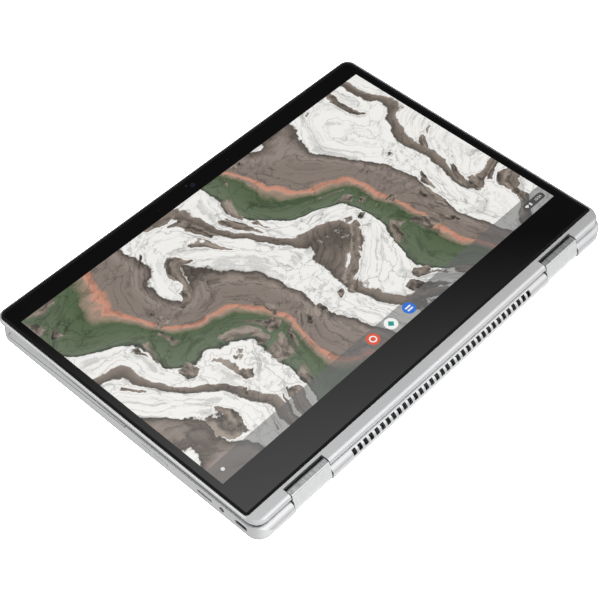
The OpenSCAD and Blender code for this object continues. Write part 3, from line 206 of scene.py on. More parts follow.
def satin_painted_zinc():
    """Die-cast zinc under satin silver paint, with cutter marks across the barrel's flat top, whose darker
    tone is painted shade.
    """
    material, tree = blank("satin_painted_zinc")
    space = add(tree, "TexCoord").outputs
    place = space["Object"]
    # cutter marks run across the barrel, 0.8 mm apart
    along = add(
        tree, "Mapping", {"Scale": (per_metre(0.8), per_metre(14), per_metre(14)), "Vector": place},
    ).outputs["Vector"]
    streak = add(tree, "TexNoise", {"Scale": 1, "Detail": 2, "Vector": along}).outputs["Fac"]
    flake = add(tree, "TexNoise", {"Scale": per_metre(3), "Detail": 3, "Vector": place}).outputs["Fac"]
    paint = add(tree, "ValToRGB", {"Fac": flake}, stops=[(0.35, srgb("cbcccc")), (0.65, srgb("d6d7d7"))])
    cut_marks_in_painted_shade = add(tree, "ValToRGB", {"Fac": streak}, stops=[(0.35, srgb("98999a")), (0.65, srgb("b8b9ba"))])
    # painted shade: faces pointing up take the darker streaked tone instead of the paint
    upward = add(tree, "SeparateXYZ", {"Vector": space["Normal"]}).outputs["Z"]
    flat_top_painted_shade = add(
        tree, "MapRange", {"Value": upward, "From Min": 0.93, "From Max": 0.99},
        interpolation_type="SMOOTHSTEP",
    ).outputs["Result"]
    tone = add(
        tree, "Mix", {FACTOR: flat_top_painted_shade, FIRST: paint.outputs["Color"], SECOND: cut_marks_in_painted_shade.outputs["Color"]},
        data_type="RGBA",
    ).outputs[MIXED]
    rough = add(
        tree, "MapRange",
        {"Value": flake, "From Min": 0.3, "From Max": 0.7, "To Min": 0.24, "To Max": 0.32},
    ).outputs["Result"]
    bump = add(tree, "Bump", {"Strength": 0.08, "Distance": 0.02 * MM, "Height": flake}).outputs["Normal"]
    return covered(material, "BsdfPrincipled", {
        "Metallic": 0.92, "Base Color": tone, "Roughness": rough, "Normal": bump,
    })


def satin_anodised_buttons():
    """Turned aluminium buttons, anodised: the shells' silver with a slightly tighter sheen."""
    material, tree, place = begun("satin_anodised_buttons")
    grain = add(tree, "TexNoise", {"Scale": per_metre(0.3), "Detail": 2, "Vector": place}).outputs["Fac"]
    tone = add(tree, "ValToRGB", {"Fac": grain}, stops=[(0.3, srgb("cbccce")), (0.7, srgb("d3d4d5"))])
    bump = add(tree, "Bump", {"Strength": 0.1, "Distance": 0.01 * MM, "Height": grain}).outputs["Normal"]
    return covered(material, "BsdfPrincipled", {
        "Metallic": 1, "Roughness": 0.34, "Base Color": tone.outputs["Color"], "Normal": bump,
    })


def perforated_aluminium_sheet():
    """Punched aluminium sheet over the speakers, brushed along its length."""
    material, tree, place = begun("perforated_aluminium_sheet")
    brushed = add(
        tree, "Mapping", {"Scale": (per_metre(0.25), per_metre(12), per_metre(12)), "Vector": place},
    ).outputs["Vector"]
    lines = add(tree, "TexNoise", {"Scale": 1, "Detail": 3, "Vector": brushed}).outputs["Fac"]
    tone = add(tree, "ValToRGB", {"Fac": lines}, stops=[(0.3, srgb("c2c3c5")), (0.7, srgb("cfd0d1"))])
    bump = add(tree, "Bump", {"Strength": 0.15, "Distance": 0.01 * MM, "Height": lines}).outputs["Normal"]
    return covered(material, "BsdfPrincipled", {
        "Metallic": 1, "Roughness": 0.38, "Base Color": tone.outputs["Color"], "Normal": bump,
    })


def moulded_foot_rubber():
    """Moulded rubber feet: matt dark grey with a faint dusty bloom."""
    material, tree, place = begun("moulded_foot_rubber")
    dust = add(tree, "TexNoise", {"Scale": per_metre(6), "Detail": 5, "Vector": place}).outputs["Fac"]
    tone = add(tree, "ValToRGB", {"Fac": dust}, stops=[(0.35, srgb("242526")), (0.7, srgb("313233"))])
    grain = add(tree, "TexNoise", {"Scale": per_metre(0.4), "Detail": 2, "Vector": place}).outputs["Fac"]
    bump = add(tree, "Bump", {"Strength": 0.25, "Distance": 0.03 * MM, "Height": grain}).outputs["Normal"]
    return covered(material, "BsdfPrincipled", {
        "Roughness": 0.75, "Base Color": tone.outputs["Color"], "Normal": bump,
    })


# ---- materials of the screen ----

SCREEN_POLISH = {"Base Color": srgb("050505"), "Roughness": 0.03, "IOR": 1.5}
LIT_LEVEL = 0.93


def black_printed_glass():
    """Polished cover glass, printed black from behind: deep black that mirrors the room sharply."""
    material, tree, place = begun("black_printed_glass")
    # handling leaves wide, very faint films on the polish
    film = add(
        tree, "TexNoise", {"Scale": per_metre(55), "Detail": 4, "Distortion": 0.6, "Vector": place},
    ).outputs["Fac"]
    rough = add(
        tree, "MapRange",
        {"Value": film, "From Min": 0.35, "From Max": 0.75, "To Min": 0.02, "To Max": 0.06},
    ).outputs["Result"]
    ink = add(tree, "ValToRGB", {"Fac": film}, stops=[(0.3, srgb("070708")), (0.7, srgb("09090a"))])
    return covered(material, "BsdfPrincipled", {
        "IOR": 1.5, "Base Color": ink.outputs["Color"], "Roughness": rough,
    })


def bent_places(tree, place):
    """The picture's places, pushed about by slow bends 90 mm across and frayed by quick ones of 14 mm."""
    slow = add(tree, "TexNoise", {"Scale": per_metre(90), "Detail": 1, "Vector": place})
    quick = add(tree, "TexNoise", {"Scale": per_metre(14), "Detail": 9, "Roughness": 0.6, "Vector": place})
    for bend, reach in ((slow, 0.16), (quick, 0.016)):
        way = add(
            tree, "VectorMath", {0: bend.outputs["Color"], 1: (0.5, 0.5, 0.5)}, operation="SUBTRACT",
        ).outputs["Vector"]
        place = add(
            tree, "VectorMath", {0: way, 1: (reach, reach, 0), 2: place}, operation="MULTIPLY_ADD",
        ).outputs["Vector"]
    return place


def flowing_bands(tree, bent):
    """Bands 150 mm apart that run steeply across the picture, in white, taupe, green and salmon."""
    axes = add(tree, "SeparateXYZ", {"Vector": bent}).outputs
    across = add(
        tree, "Math", {0: axes["Y"], 1: 0.45, 2: axes["X"]}, operation="MULTIPLY_ADD",
    ).outputs["Value"]
    turn = add(
        tree, "Math", {0: across, 1: per_metre(150), 2: 0.32}, operation="MULTIPLY_ADD",
    ).outputs["Value"]
    phase = add(tree, "Math", {0: turn}, operation="FRACT").outputs["Value"]
    white = srgb("f6f5f2")
    return add(tree, "ValToRGB", {"Fac": phase}, stops=[
        (0.00, srgb("8b7f77")), (0.06, srgb("9a8e86")), (0.11, srgb("574f49")), (0.115, white),
        (0.36, white), (0.365, srgb("5e5750")), (0.43, srgb("94887f")), (0.435, white),
        (0.60, white), (0.605, srgb("3e423c")), (0.63, srgb("6c7863")), (0.80, srgb("55664a")),
        (0.845, srgb("a99182")), (0.855, srgb("cf9a84")), (0.875, srgb("c98f79")), (0.89, srgb("8b7f77")),
    ]).outputs["Color"]


def lit_marbled_picture():
    """Lit liquid-crystal picture under polished glass: flowing marbled bands in white, taupe and green."""
    material, tree, place = begun("lit_marbled_picture")
    bent = bent_places(tree, place)
    bands = flowing_bands(tree, bent)
    # stones and cracks: cells 15 mm across, bent with the bands
    cells = {"Scale": per_metre(15), "Randomness": 1, "Vector": bent}
    crack = add(tree, "TexVoronoi", cells, feature="DISTANCE_TO_EDGE").outputs["Distance"]
    stone = add(tree, "TexVoronoi", cells, feature="F1").outputs["Color"]
    pick = add(tree, "SeparateColor", {"Color": stone}).outputs["Red"]
    chosen = add(tree, "Math", {0: pick, 1: 0.72}, operation="GREATER_THAN").outputs["Value"]
    inside = add(tree, "MapRange", {"Value": crack, "From Min": 0.10, "From Max": 0.13}).outputs["Result"]
    filled = add(tree, "Math", {0: chosen, 1: inside}, operation="MULTIPLY").outputs["Value"]
    fine = add(
        tree, "TexNoise", {"Scale": per_metre(7), "Detail": 9, "Roughness": 0.65, "Vector": bent},
    ).outputs["Fac"]
    stone_tone = add(tree, "ValToRGB", {"Fac": fine}, stops=[
        (0.35, srgb("3f3c38")), (0.50, srgb("7d736a")), (0.62, srgb("a3978c")),
    ])
    shade = add(tree, "ValToRGB", {"Fac": fine}, stops=[(0.38, grey(0.55)), (0.49, grey(1))])
    line = add(tree, "ValToRGB", {"Fac": crack}, stops=[(0.0, grey(0.6)), (0.025, grey(1))])
    # the shelf along the hinge side is a grey film over the picture
    height = add(tree, "SeparateXYZ", {"Vector": place}).outputs["Y"]
    on_shelf = add(tree, "Math", {0: height, 1: lit_y0 + SHELF_D}, operation="LESS_THAN").outputs["Value"]
    film = add(tree, "Math", {0: on_shelf, 1: 0.66}, operation="MULTIPLY").outputs["Value"]
    picture = bands
    for share, over, blend in (
        (filled, stone_tone.outputs["Color"], "MIX"),
        (0.7, shade.outputs["Color"], "MULTIPLY"),
        (1, line.outputs["Color"], "MULTIPLY"),
        (film, srgb("666667"), "MIX"),
    ):
        picture = add(
            tree, "Mix", {FACTOR: share, FIRST: picture, SECOND: over}, data_type="RGBA", blend_type=blend,
        ).outputs[MIXED]
    lit = {"Emission Color": picture, "Emission Strength": LIT_LEVEL}
    return covered(material, "BsdfPrincipled", SCREEN_POLISH | lit)


def lit_sign_film(name, hex_colour, strength=LIT_LEVEL):
    """Lit sign in one hue, with the fine vertical grid of the panel's colour filter."""
    material, tree, place = begun(name)
    # the filter's columns are 0.16 mm apart, drawn at 3.1 mm, a radian to 0.5 mm, so as not to shimmer
    scale = per_metre(0.5) / WAVE_RADIANS
    grid = add(tree, "TexWave", {"Scale": scale, "Vector": place}, wave_profile="SIN")
    glow = add(tree, "MapRange", {"Value": grid.outputs["Fac"], "To Min": 0.94, "To Max": 1.0})
    colour = add(
        tree, "VectorMath", {0: srgb(hex_colour)[:3], "Scale": glow.outputs["Result"]}, operation="SCALE",
    ).outputs["Vector"]
    lit = {"Emission Color": colour, "Emission Strength": strength}
    return covered(material, "BsdfPrincipled", SCREEN_POLISH | lit)


def moulded_screen_gasket():
    """Soft black rubber lip round the glass: matt, so it stays dark where the glass shines."""
    material, tree, place = begun("moulded_screen_gasket")
    grain = add(tree, "TexNoise", {"Scale": per_metre(0.5), "Detail": 2, "Vector": place}).outputs["Fac"]
    tone = add(tree, "ValToRGB", {"Fac": grain}, stops=[(0.3, srgb("060606")), (0.7, srgb("0c0c0d"))])
    bump = add(tree, "Bump", {"Strength": 0.2, "Distance": 0.02 * MM, "Height": grain}).outputs["Normal"]
    return covered(material, "BsdfPrincipled", {
        "Roughness": 0.7, "Specular IOR Level": 0.2, "Base Color": tone.outputs["Color"], "Normal": bump,
    })


def coated_camera_lens():
    """Camera lens under the glass: near black with a faint blue-violet coating, and a painted sheen that
    turns paler violet at a slant.
    """
    material, tree, place = begun("coated_camera_lens")
    facing = add(tree, "LayerWeight", {"Blend": 0.35}).outputs["Facing"]
    film = add(tree, "TexNoise", {"Scale": per_metre(2), "Vector": place}).outputs["Fac"]
    tint = add(
        tree, "Mix", {FACTOR: film, FIRST: srgb("15152a"), SECOND: srgb("0c1220")}, data_type="RGBA",
    ).outputs[MIXED]
    # painted sheen: paler violet where the lens is seen at a slant
    tint_with_painted_sheen = add(
        tree, "Mix", {FACTOR: facing, FIRST: tint, SECOND: srgb("2a2540")}, data_type="RGBA",
    ).outputs[MIXED]
    return covered(material, "BsdfPrincipled", {"Roughness": 0.04, "IOR": 1.6, "Base Color": tint_with_painted_sheen})


# ---- materials of the keyboard and touchpad ----

def textured_key_plastic():
    """Key caps in silver-grey moulded plastic with a fine soft-touch texture."""
    material, tree, place = begun("textured_key_plastic")
    grain = add(tree, "TexNoise", {"Scale": per_metre(0.25), "Detail": 3, "Vector": place}).outputs["Fac"]
    use = add(tree, "TexNoise", {"Scale": per_metre(14), "Detail": 3, "Vector": place}).outputs["Fac"]
    tone = add(tree, "ValToRGB", {"Fac": use}, stops=[(0.3, srgb("b3b4b6")), (0.7, srgb("bbbcbe"))])
    rough = add(
        tree, "MapRange",
        {"Value": use, "From Min": 0.35, "From Max": 0.7, "To Min": 0.42, "To Max": 0.56},
    ).outputs["Result"]
    bump = add(tree, "Bump", {"Strength": 0.25, "Distance": 0.02 * MM, "Height": grain}).outputs["Normal"]
    return covered(material, "BsdfPrincipled", {
        "Base Color": tone.outputs["Color"], "Roughness": rough, "Normal": bump,
    })


def painted_keyboard_frame():
    """Moulded keyboard frame in silver lacquer: flat and a shade darker than the deck."""
    material, tree, place = begun("painted_keyboard_frame")
    flake = add(tree, "TexNoise", {"Scale": per_metre(0.35), "Detail": 2, "Vector": place}).outputs["Fac"]
    tone = add(tree, "ValToRGB", {"Fac": flake}, stops=[(0.3, srgb("a6a7a9")), (0.7, srgb("b0b1b3"))])
    bump = add(tree, "Bump", {"Strength": 0.1, "Distance": 0.02 * MM, "Height": flake}).outputs["Normal"]
    return covered(material, "BsdfPrincipled", {
        "Metallic": 0.5, "Roughness": 0.45, "Base Color": tone.outputs["Color"], "Normal": bump,
    })


def printed_legend_ink():
    """Pad-printed legends: dark grey ink with slightly uneven cover."""
    material, tree, place = begun("printed_legend_ink")
    cover = add(tree, "TexNoise", {"Scale": per_metre(0.6), "Detail": 2, "Vector": place}).outputs["Fac"]
    tone = add(tree, "ValToRGB", {"Fac": cover}, stops=[(0.3, srgb("3c3d3f")), (0.7, srgb("46474a"))])
    return covered(material, "BsdfPrincipled", {"Roughness": 0.5, "Base Color": tone.outputs["Color"]})


def laminated_touchpad_film():
    """Touchpad face of laminated film: silver, silky and slightly polished by the fingers."""
    material, tree, place = begun("laminated_touchpad_film")
    rubbed = add(tree, "TexNoise", {"Scale": per_metre(30), "Detail": 3, "Vector": place}).outputs["Fac"]
    tone = add(tree, "ValToRGB", {"Fac": rubbed}, stops=[(0.3, srgb("b9babc")), (0.7, srgb("c0c1c3"))])
    rough = add(
        tree, "MapRange",
        {"Value": rubbed, "From Min": 0.35, "From Max": 0.65, "To Min": 0.28, "To Max": 0.4},
    ).outputs["Result"]
    return covered(material, "BsdfPrincipled", {
        "Metallic": 0.35, "Base Color": tone.outputs["Color"], "Roughness": rough,
    })


# ---- materials of the hinge and the inside ----

def oiled_machined_steel():
    """Machined hinge steel under a film of oil: dark grey with turning lines round the shafts."""
    material, tree, place = begun("oiled_machined_steel")
    turned = add(
        tree, "Mapping", {"Scale": (per_metre(0.3), per_metre(9), per_metre(9)), "Vector": place},
    ).outputs["Vector"]
    lines = add(tree, "TexNoise", {"Scale": 1, "Detail": 2, "Vector": turned}).outputs["Fac"]
    tone = add(tree, "ValToRGB", {"Fac": lines}, stops=[(0.3, srgb("6e6f71")), (0.7, srgb("858688"))])
    bump = add(tree, "Bump", {"Strength": 0.2, "Distance": 0.01 * MM, "Height": lines}).outputs["Normal"]
    return covered(material, "BsdfPrincipled", {
        "Metallic": 1, "Roughness": 0.3, "Base Color": tone.outputs["Color"], "Normal": bump,
    })


def cut_brass():
    """Brass gears cut from bar: warm yellow with fine cutter marks."""
    material, tree, place = begun("cut_brass")
    marks = add(tree, "TexNoise", {"Scale": per_metre(0.4), "Detail": 3, "Vector": place}).outputs["Fac"]
    tone = add(tree, "ValToRGB", {"Fac": marks}, stops=[(0.3, srgb("c9a55c")), (0.7, srgb("d9b86f"))])
    bump = add(tree, "Bump", {"Strength": 0.15, "Distance": 0.01 * MM, "Height": marks}).outputs["Normal"]
    return covered(material, "BsdfPrincipled", {
        "Metallic": 1, "Roughness": 0.28, "Base Color": tone.outputs["Color"], "Normal": bump,
    })


def turned_brass():
    """Turned brass standoffs: paler than the gears, with rings from the lathe."""
    material, tree, place = begun("turned_brass")
    rings = add(
        tree, "Mapping", {"Scale": (per_metre(8), per_metre(8), per_metre(0.2)), "Vector": place},
    ).outputs["Vector"]
    lines = add(tree, "TexNoise", {"Scale": 1, "Vector": rings}).outputs["Fac"]
    tone = add(tree, "ValToRGB", {"Fac": lines}, stops=[(0.3, srgb("cbb277")), (0.7, srgb("dcc68e"))])
    return covered(material, "BsdfPrincipled", {
        "Metallic": 1, "Roughness": 0.25, "Base Color": tone.outputs["Color"],
    })


def nickel_plated_screw_steel():
    """Small screws, nickel plated: bright and slightly warm, scuffed by the driver."""
    material, tree, place = begun("nickel_plated_screw_steel")
    scuff = add(tree, "TexNoise", {"Scale": per_metre(0.7), "Detail": 4, "Vector": place}).outputs["Fac"]
    rough = add(
        tree, "MapRange",
        {"Value": scuff, "From Min": 0.35, "From Max": 0.7, "To Min": 0.2, "To Max": 0.42},
    ).outputs["Result"]
    tone = add(tree, "ValToRGB", {"Fac": scuff}, stops=[(0.3, srgb("aeadab")), (0.7, srgb("bab9b6"))])
    return covered(material, "BsdfPrincipled", {
        "Metallic": 1, "Base Color": tone.outputs["Color"], "Roughness": rough,
    })


def zinc_coated_sheet():
    """Pressed steel sheet with hot-dipped zinc: grey with pale crystal spangles."""
    material, tree, place = begun("zinc_coated_sheet")
    spangle = add(tree, "TexVoronoi", {"Scale": per_metre(5), "Vector": place}).outputs["Color"]
    level = add(tree, "RGBToBW", {"Color": spangle}).outputs["Val"]
    tone = add(tree, "ValToRGB", {"Fac": level}, stops=[(0.2, srgb("9b9da0")), (0.8, srgb("b4b6b8"))])
    return covered(material, "BsdfPrincipled", {
        "Metallic": 1, "Roughness": 0.4, "Base Color": tone.outputs["Color"],
    })


def drawn_socket_steel():
    """Deep-drawn and plated socket shells: bright steel with long draw lines."""
    material, tree, place = begun("drawn_socket_steel")
    drawn = add(
        tree, "Mapping", {"Scale": (per_metre(6), per_metre(0.3), per_metre(0.3)), "Vector": place},
    ).outputs["Vector"]
    lines = add(tree, "TexNoise", {"Scale": 1, "Detail": 2, "Vector": drawn}).outputs["Fac"]
    tone = add(tree, "ValToRGB", {"Fac": lines}, stops=[(0.3, srgb("a4a5a7")), (0.7, srgb("b6b7b9"))])
    return covered(material, "BsdfPrincipled", {
        "Metallic": 1, "Roughness": 0.27, "Base Color": tone.outputs["Color"],
    })


def solder_masked_board():
    """Circuit board in green solder mask, with copper runs showing as paler lines beneath."""
    material, tree, place = begun("solder_masked_board")
    # runs lie round cells of 1.2 by 0.6 mm, broken up by noise
    cells = per_metre(1.2) * BRICK_L
    runs = add(tree, "TexBrick", {"Scale": cells, "Mortar Size": 0.12, "Vector": place}).outputs["Fac"]
    broken = add(tree, "TexNoise", {"Scale": per_metre(7), "Detail": 1, "Vector": place}).outputs["Fac"]
    where = add(tree, "Math", {0: broken, 1: 0.5}, operation="GREATER_THAN").outputs["Value"]
    line = add(tree, "Math", {0: runs, 1: where}, operation="MULTIPLY").outputs["Value"]
    tone = add(
        tree, "Mix", {FACTOR: line, FIRST: srgb("0f4a2a"), SECOND: srgb("2a6b42")}, data_type="RGBA",
    ).outputs[MIXED]
    return covered(material, "BsdfPrincipled", {"Roughness": 0.3, "Base Color": tone})


def flattened_copper():
    """Heat pipe and spreader in copper, drawn and pressed flat: rosy, with oxidised patches."""
    material, tree, place = begun("flattened_copper")
    patch = add(tree, "TexNoise", {"Scale": per_metre(9), "Detail": 4, "Vector": place}).outputs["Fac"]
    tone = add(tree, "ValToRGB", {"Fac": patch}, stops=[(0.3, srgb("b9744f")), (0.7, srgb("d3906a"))])
    return covered(material, "BsdfPrincipled", {
        "Metallic": 1, "Roughness": 0.33, "Base Color": tone.outputs["Color"],
    })


def stacked_fin_aluminium():
    """Thin stacked fins of rolled aluminium: dull silver with rolling lines."""
    material, tree, place = begun("stacked_fin_aluminium")
    rolled = add(
        tree, "Mapping", {"Scale": (per_metre(10), per_metre(10), per_metre(0.4)), "Vector": place},
    ).outputs["Vector"]
    lines = add(tree, "TexNoise", {"Scale": 1, "Vector": rolled}).outputs["Fac"]
    tone = add(tree, "ValToRGB", {"Fac": lines}, stops=[(0.3, srgb("8e8f91")), (0.7, srgb("a5a6a8"))])
    return covered(material, "BsdfPrincipled", {
        "Metallic": 1, "Roughness": 0.45, "Base Color": tone.outputs["Color"],
    })


def moulded_black_plastic():
    """Moulded black plastic of fan, speakers, tray and jack: dark grey-black with spark-eroded grain."""
    material, tree, place = begun("moulded_black_plastic")
    grain = add(tree, "TexNoise", {"Scale": per_metre(0.5), "Detail": 2, "Vector": place}).outputs["Fac"]
    tone = add(tree, "ValToRGB", {"Fac": grain}, stops=[(0.3, srgb("161617")), (0.7, srgb("1f1f20"))])
    bump = add(tree, "Bump", {"Strength": 0.3, "Distance": 0.03 * MM, "Height": grain}).outputs["Normal"]
    return covered(material, "BsdfPrincipled", {
        "Roughness": 0.5, "Base Color": tone.outputs["Color"], "Normal": bump,
    })


def laminated_battery_foil():
    """Battery pouches in dark laminated foil: soft sheen over shallow puckers."""
    material, tree, place = begun("laminated_battery_foil")
    pucker = add(tree, "TexNoise", {"Scale": per_metre(8), "Detail": 3, "Vector": place}).outputs["Fac"]
    tone = add(tree, "ValToRGB", {"Fac": pucker}, stops=[(0.3, srgb("38393b")), (0.7, srgb("454648"))])
    bump = add(tree, "Bump", {"Strength": 0.3, "Distance": 0.2 * MM, "Height": pucker}).outputs["Normal"]
    return covered(material, "BsdfPrincipled", {
        "Metallic": 0.6, "Roughness": 0.35, "Base Color": tone.outputs["Color"], "Normal": bump,
    })


def laminated_panel_edge():
    """Liquid-crystal panel and its backlight: dark stack with pale diffuser layers at the edge."""
    material, tree, place = begun("laminated_panel_edge")
    layered = add(
        tree, "Mapping", {"Scale": (per_metre(60), per_metre(60), per_metre(0.5)), "Vector": place},
    ).outputs["Vector"]
    layers = add(tree, "TexNoise", {"Scale": 1, "Detail": 0, "Vector": layered}).outputs["Fac"]
    tone = add(tree, "ValToRGB", {"Fac": layers}, stops=[(0.45, srgb("1b1c1e")), (0.6, srgb("8a8b8d"))])
    return covered(material, "BsdfPrincipled", {"Roughness": 0.4, "Base Color": tone.outputs["Color"]})


def black_cell_foam():
    """Open-cell foam strips: black, matt and pitted."""
    material, tree, place = begun("black_cell_foam")
    cells = add(tree, "TexVoronoi", {"Scale": per_metre(0.8), "Vector": place}).outputs["Distance"]
    tone = add(tree, "ValToRGB", {"Fac": cells}, stops=[(0.1, srgb("101010")), (0.6, srgb("262626"))])
    bump = add(tree, "Bump", {"Strength": 0.5, "Distance": 0.2 * MM, "Height": cells}).outputs["Normal"]
    return covered(material, "BsdfPrincipled", {
        "Roughness": 0.9, "Base Color": tone.outputs["Color"], "Normal": bump,
    })


def copper_antenna_film():
    """Antenna foil: thin copper under amber film."""
    material, tree, place = begun("copper_antenna_film")
    ripple = add(tree, "TexNoise", {"Scale": per_metre(4), "Detail": 2, "Vector": place}).outputs["Fac"]
    tone = add(tree, "ValToRGB", {"Fac": ripple}, stops=[(0.3, srgb("a96a2c")), (0.7, srgb("c4853f"))])
    return covered(material, "BsdfPrincipled", {
        "Metallic": 0.7, "Roughness": 0.3, "Base Color": tone.outputs["Color"],
    })


def nickel_plated_magnet():
    """Sintered magnets, nickel plated: bright grey with a pebbled skin."""
    material, tree, place = begun("nickel_plated_magnet")
    skin = add(tree, "TexNoise", {"Scale": per_metre(0.6), "Detail": 3, "Vector": place}).outputs["Fac"]
    bump = add(tree, "Bump", {"Strength": 0.3, "Distance": 0.02 * MM, "Height": skin}).outputs["Normal"]
    tone = add(tree, "ValToRGB", {"Fac": skin}, stops=[(0.3, srgb("a9a8a5")), (0.7, srgb("b5b4b1"))])
    return covered(material, "BsdfPrincipled", {
        "Metallic": 1, "Roughness": 0.25, "Base Color": tone.outputs["Color"], "Normal": bump,
    })


def gold_plated_contact():
    """Socket contacts, gold over nickel: small warm glints on the tongues."""
    material, tree, place = begun("gold_plated_contact")
    wear = add(tree, "TexNoise", {"Scale": per_metre(0.8), "Detail": 2, "Vector": place}).outputs["Fac"]
    tone = add(tree, "ValToRGB", {"Fac": wear}, stops=[(0.3, srgb("d8ac52")), (0.7, srgb("e6c273"))])
    return covered(material, "BsdfPrincipled", {
        "Metallic": 1, "Roughness": 0.22, "Base Color": tone.outputs["Color"],
    })


# ---- building pieces ----

def rectangle(width, depth, radii, middle=(0, 0), steps=8):
    """Points anticlockwise round a rectangle: one corner radius, or a pair for +Y and -Y corners."""
    far, near = radii if isinstance(radii, tuple) else (radii, radii)
    points = []
    corners = ((1, 1, far), (-1, 1, far), (-1, -1, near), (1, -1, near))
    for corner, (sx, sy, radius) in enumerate(corners):
        centre = Vector((middle[0] + sx * (width / 2 - radius), middle[1] + sy * (depth / 2 - radius)))
        for step in range(steps + 1):
            turn = math.pi / 2 * (corner + step / steps)
            points.append(centre + radius * Vector((math.cos(turn), math.sin(turn))))
    return points


def circle(radius, middle, count=40):
    """Points anticlockwise round a circle."""
    turns = [2 * math.pi * i / count for i in range(count)]
    return [Vector(middle) + radius * Vector((math.cos(turn), math.sin(turn))) for turn in turns]


def hole(loop):
    """The same points the other way round, which makes a hole in a plate."""
    return loop[::-1]


def inset(loop, distance):
    """The loop moved to its left: an outline shrinks and a hole grows."""
    moved = []
    for before, here, after in zip(loop[-1:] + loop[:-1], loop, loop[1:] + loop[:1]):
        first = (here - before).orthogonal().normalized()
        second = (after - here).orthogonal().normalized()
        left = (first + second).normalized()
        moved.append(here + left * distance / max(0.5, left.dot(first)))
    return moved


def plate(loops, top, thickness, edge=0.0):
    """Mesh of a flat plate: the outline, then its holes, with its upper and lower edges broken."""
    small = [inset(loop, edge) for loop in loops]
    levels = [(small, top), (loops, top - edge), (loops, top - thickness + edge), (small, top - thickness)]
    if not edge:
        levels = [levels[0], levels[-1]]
    points = [(x, y, z) for shape, z in levels for loop in shape for x, y in loop]
    count = sum(len(loop) for loop in loops)
    fill = tessellate_polygon([[point.to_3d() for point in loop] for loop in small])
    last = count * (len(levels) - 1)
    faces = [tuple(corners) for corners in fill]
    faces += [tuple(last + i for i in corners) for corners in fill]
    for level in range(len(levels) - 1):
        start = count * level
        for loop in loops:
            for i in range(len(loop)):
                here, after = start + i, start + (i + 1) % len(loop)
                faces.append((here, after, after + count, here + count))
            start += len(loop)
    mesh = bpy.data.meshes.new("plate")
    mesh.from_pydata(points, [], faces)
    return mesh


def block(low, high, edge):
    """Mesh of a rectangular block between two corners, with its long edges broken."""
    size = high - low
    middle = (low + high) / 2
    # the corners are a hair rounder than the edges, so that the inset loop keeps them
    corner_r = edge * 1.01
    return plate([rectangle(size.x, size.y, corner_r, middle, 2)], high.z, size.z, edge)


def lettering(text, size, middle, thickness):
    """Mesh of a line or two of text in the XY plane, centred on a point, rising from z = 0."""
    data = bpy.data.curves.new("lettering", "FONT")
    data.body = text
    data.size = size
    data.align_x = "CENTER"
    data.align_y = "CENTER"
    data.space_line = 0.9
    data.extrude = thickness / 2
    data.resolution_u = 3
    shape = bpy.data.objects.new("lettering", data)
    bpy.context.scene.collection.objects.link(shape)
    bpy.context.view_layer.update()
    mesh = bpy.data.meshes.new_from_object(shape)
    bpy.data.objects.remove(shape)
    mesh.transform(Matrix.Translation((middle[0], middle[1], thickness / 2)))
    return mesh


def piece(name, meshes, body, material):
    """One named piece from one or more meshes, riding on a CAD body."""
    joined = bmesh.new()
    for mesh in meshes:
        joined.from_mesh(mesh)
    bmesh.ops.recalc_face_normals(joined, faces=joined.faces)
    data = bpy.data.meshes.new(name)
    joined.to_mesh(data)
    joined.free()
    data.materials.append(material)
    made = bpy.data.objects.new(name, data)
    bpy.context.scene.collection.objects.link(made)
    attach(made, body)
    return made


# ---- the screen ----

LENS = Vector((-0.4 * MM, lit_y1 + 6.4 * MM))
LENS_R = 1.7 * MM
SENSOR = Vector((-4.2 * MM, lit_y1 + 9.1 * MM))
SENSOR_R = 0.7 * MM
MIC_X = 32 * MM
MIC_R = 0.35 * MM
GLASS_FREE_R = 4.15 * MM
GLASS_HINGE_R = 0.8 * MM
GLASS_EDGE = 0.06 * MM
LIT_CORNER_R = 0.3 * MM
PICTURE_T = 0.6 * MM


def make_screen_glass(glass):
    """Black border glass with the lit area and the camera's openings cut out of it."""
    size = glass_high - glass_low
    middle = (glass_low + glass_high) / 2
    loops = [
        rectangle(size.x, size.y, (GLASS_FREE_R, GLASS_HINGE_R), middle, 12),
        hole(rectangle(LIT_W, LIT_D, LIT_CORNER_R, lit_mid, 3)),
        hole(circle(LENS_R, LENS)),
        hole(circle(SENSOR_R, SENSOR, 24)),
    ]
    loops += [hole(circle(MIC_R, (side * MIC_X, LENS.y), 16)) for side in (-1, 1)]
    border = piece(
        "screen_border", [plate(loops, GLASS_TOP, size.z, GLASS_EDGE)],
        "display_lid", glass,
    )
    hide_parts("display_glass")


def make_camera_window(lens, sensor):
    """Lens, light sensor and microphone wells seen through the openings of the border."""
    below = 0.02 * MM
    depth = 0.5 * MM
    mic_below = 0.2 * MM
    mic_depth = 0.3 * MM
    piece(
        "camera_lens", [plate([circle(LENS_R - below, LENS)], GLASS_TOP - below, depth, below)],
        "display_lid", lens,
    )
    wells = [plate([circle(SENSOR_R - below, SENSOR, 24)], GLASS_TOP - below, depth)]
    for side in (-1, 1):
        well = circle(MIC_R - below / 2, (side * MIC_X, LENS.y), 16)
        wells.append(plate([well], GLASS_TOP - mic_below, mic_depth))
    piece("sensor_and_mic_wells", wells, "display_lid", sensor)


def on_screen(name, meshes, material):
    """One piece of the lit screen."""
    piece(name, meshes, "display_lid", material)


def make_lit_picture(picture):
    """The picture's own slab, a hair smaller than the opening in the border."""
    slack = 0.01 * MM
    outline = rectangle(LIT_W - slack, LIT_D - slack, LIT_CORNER_R, lit_mid, 3)
    on_screen("lit_picture", [plate([outline], GLASS_TOP - 2 * LAYER, PICTURE_T)], picture)


ICON_R = 4.5 * MM
ICON_Y = lit_y0 + 7.2 * MM
GLYPH_TOP = GLASS_TOP
ICON_TOP = GLASS_TOP - LAYER
FILM_T = 0.008 * MM


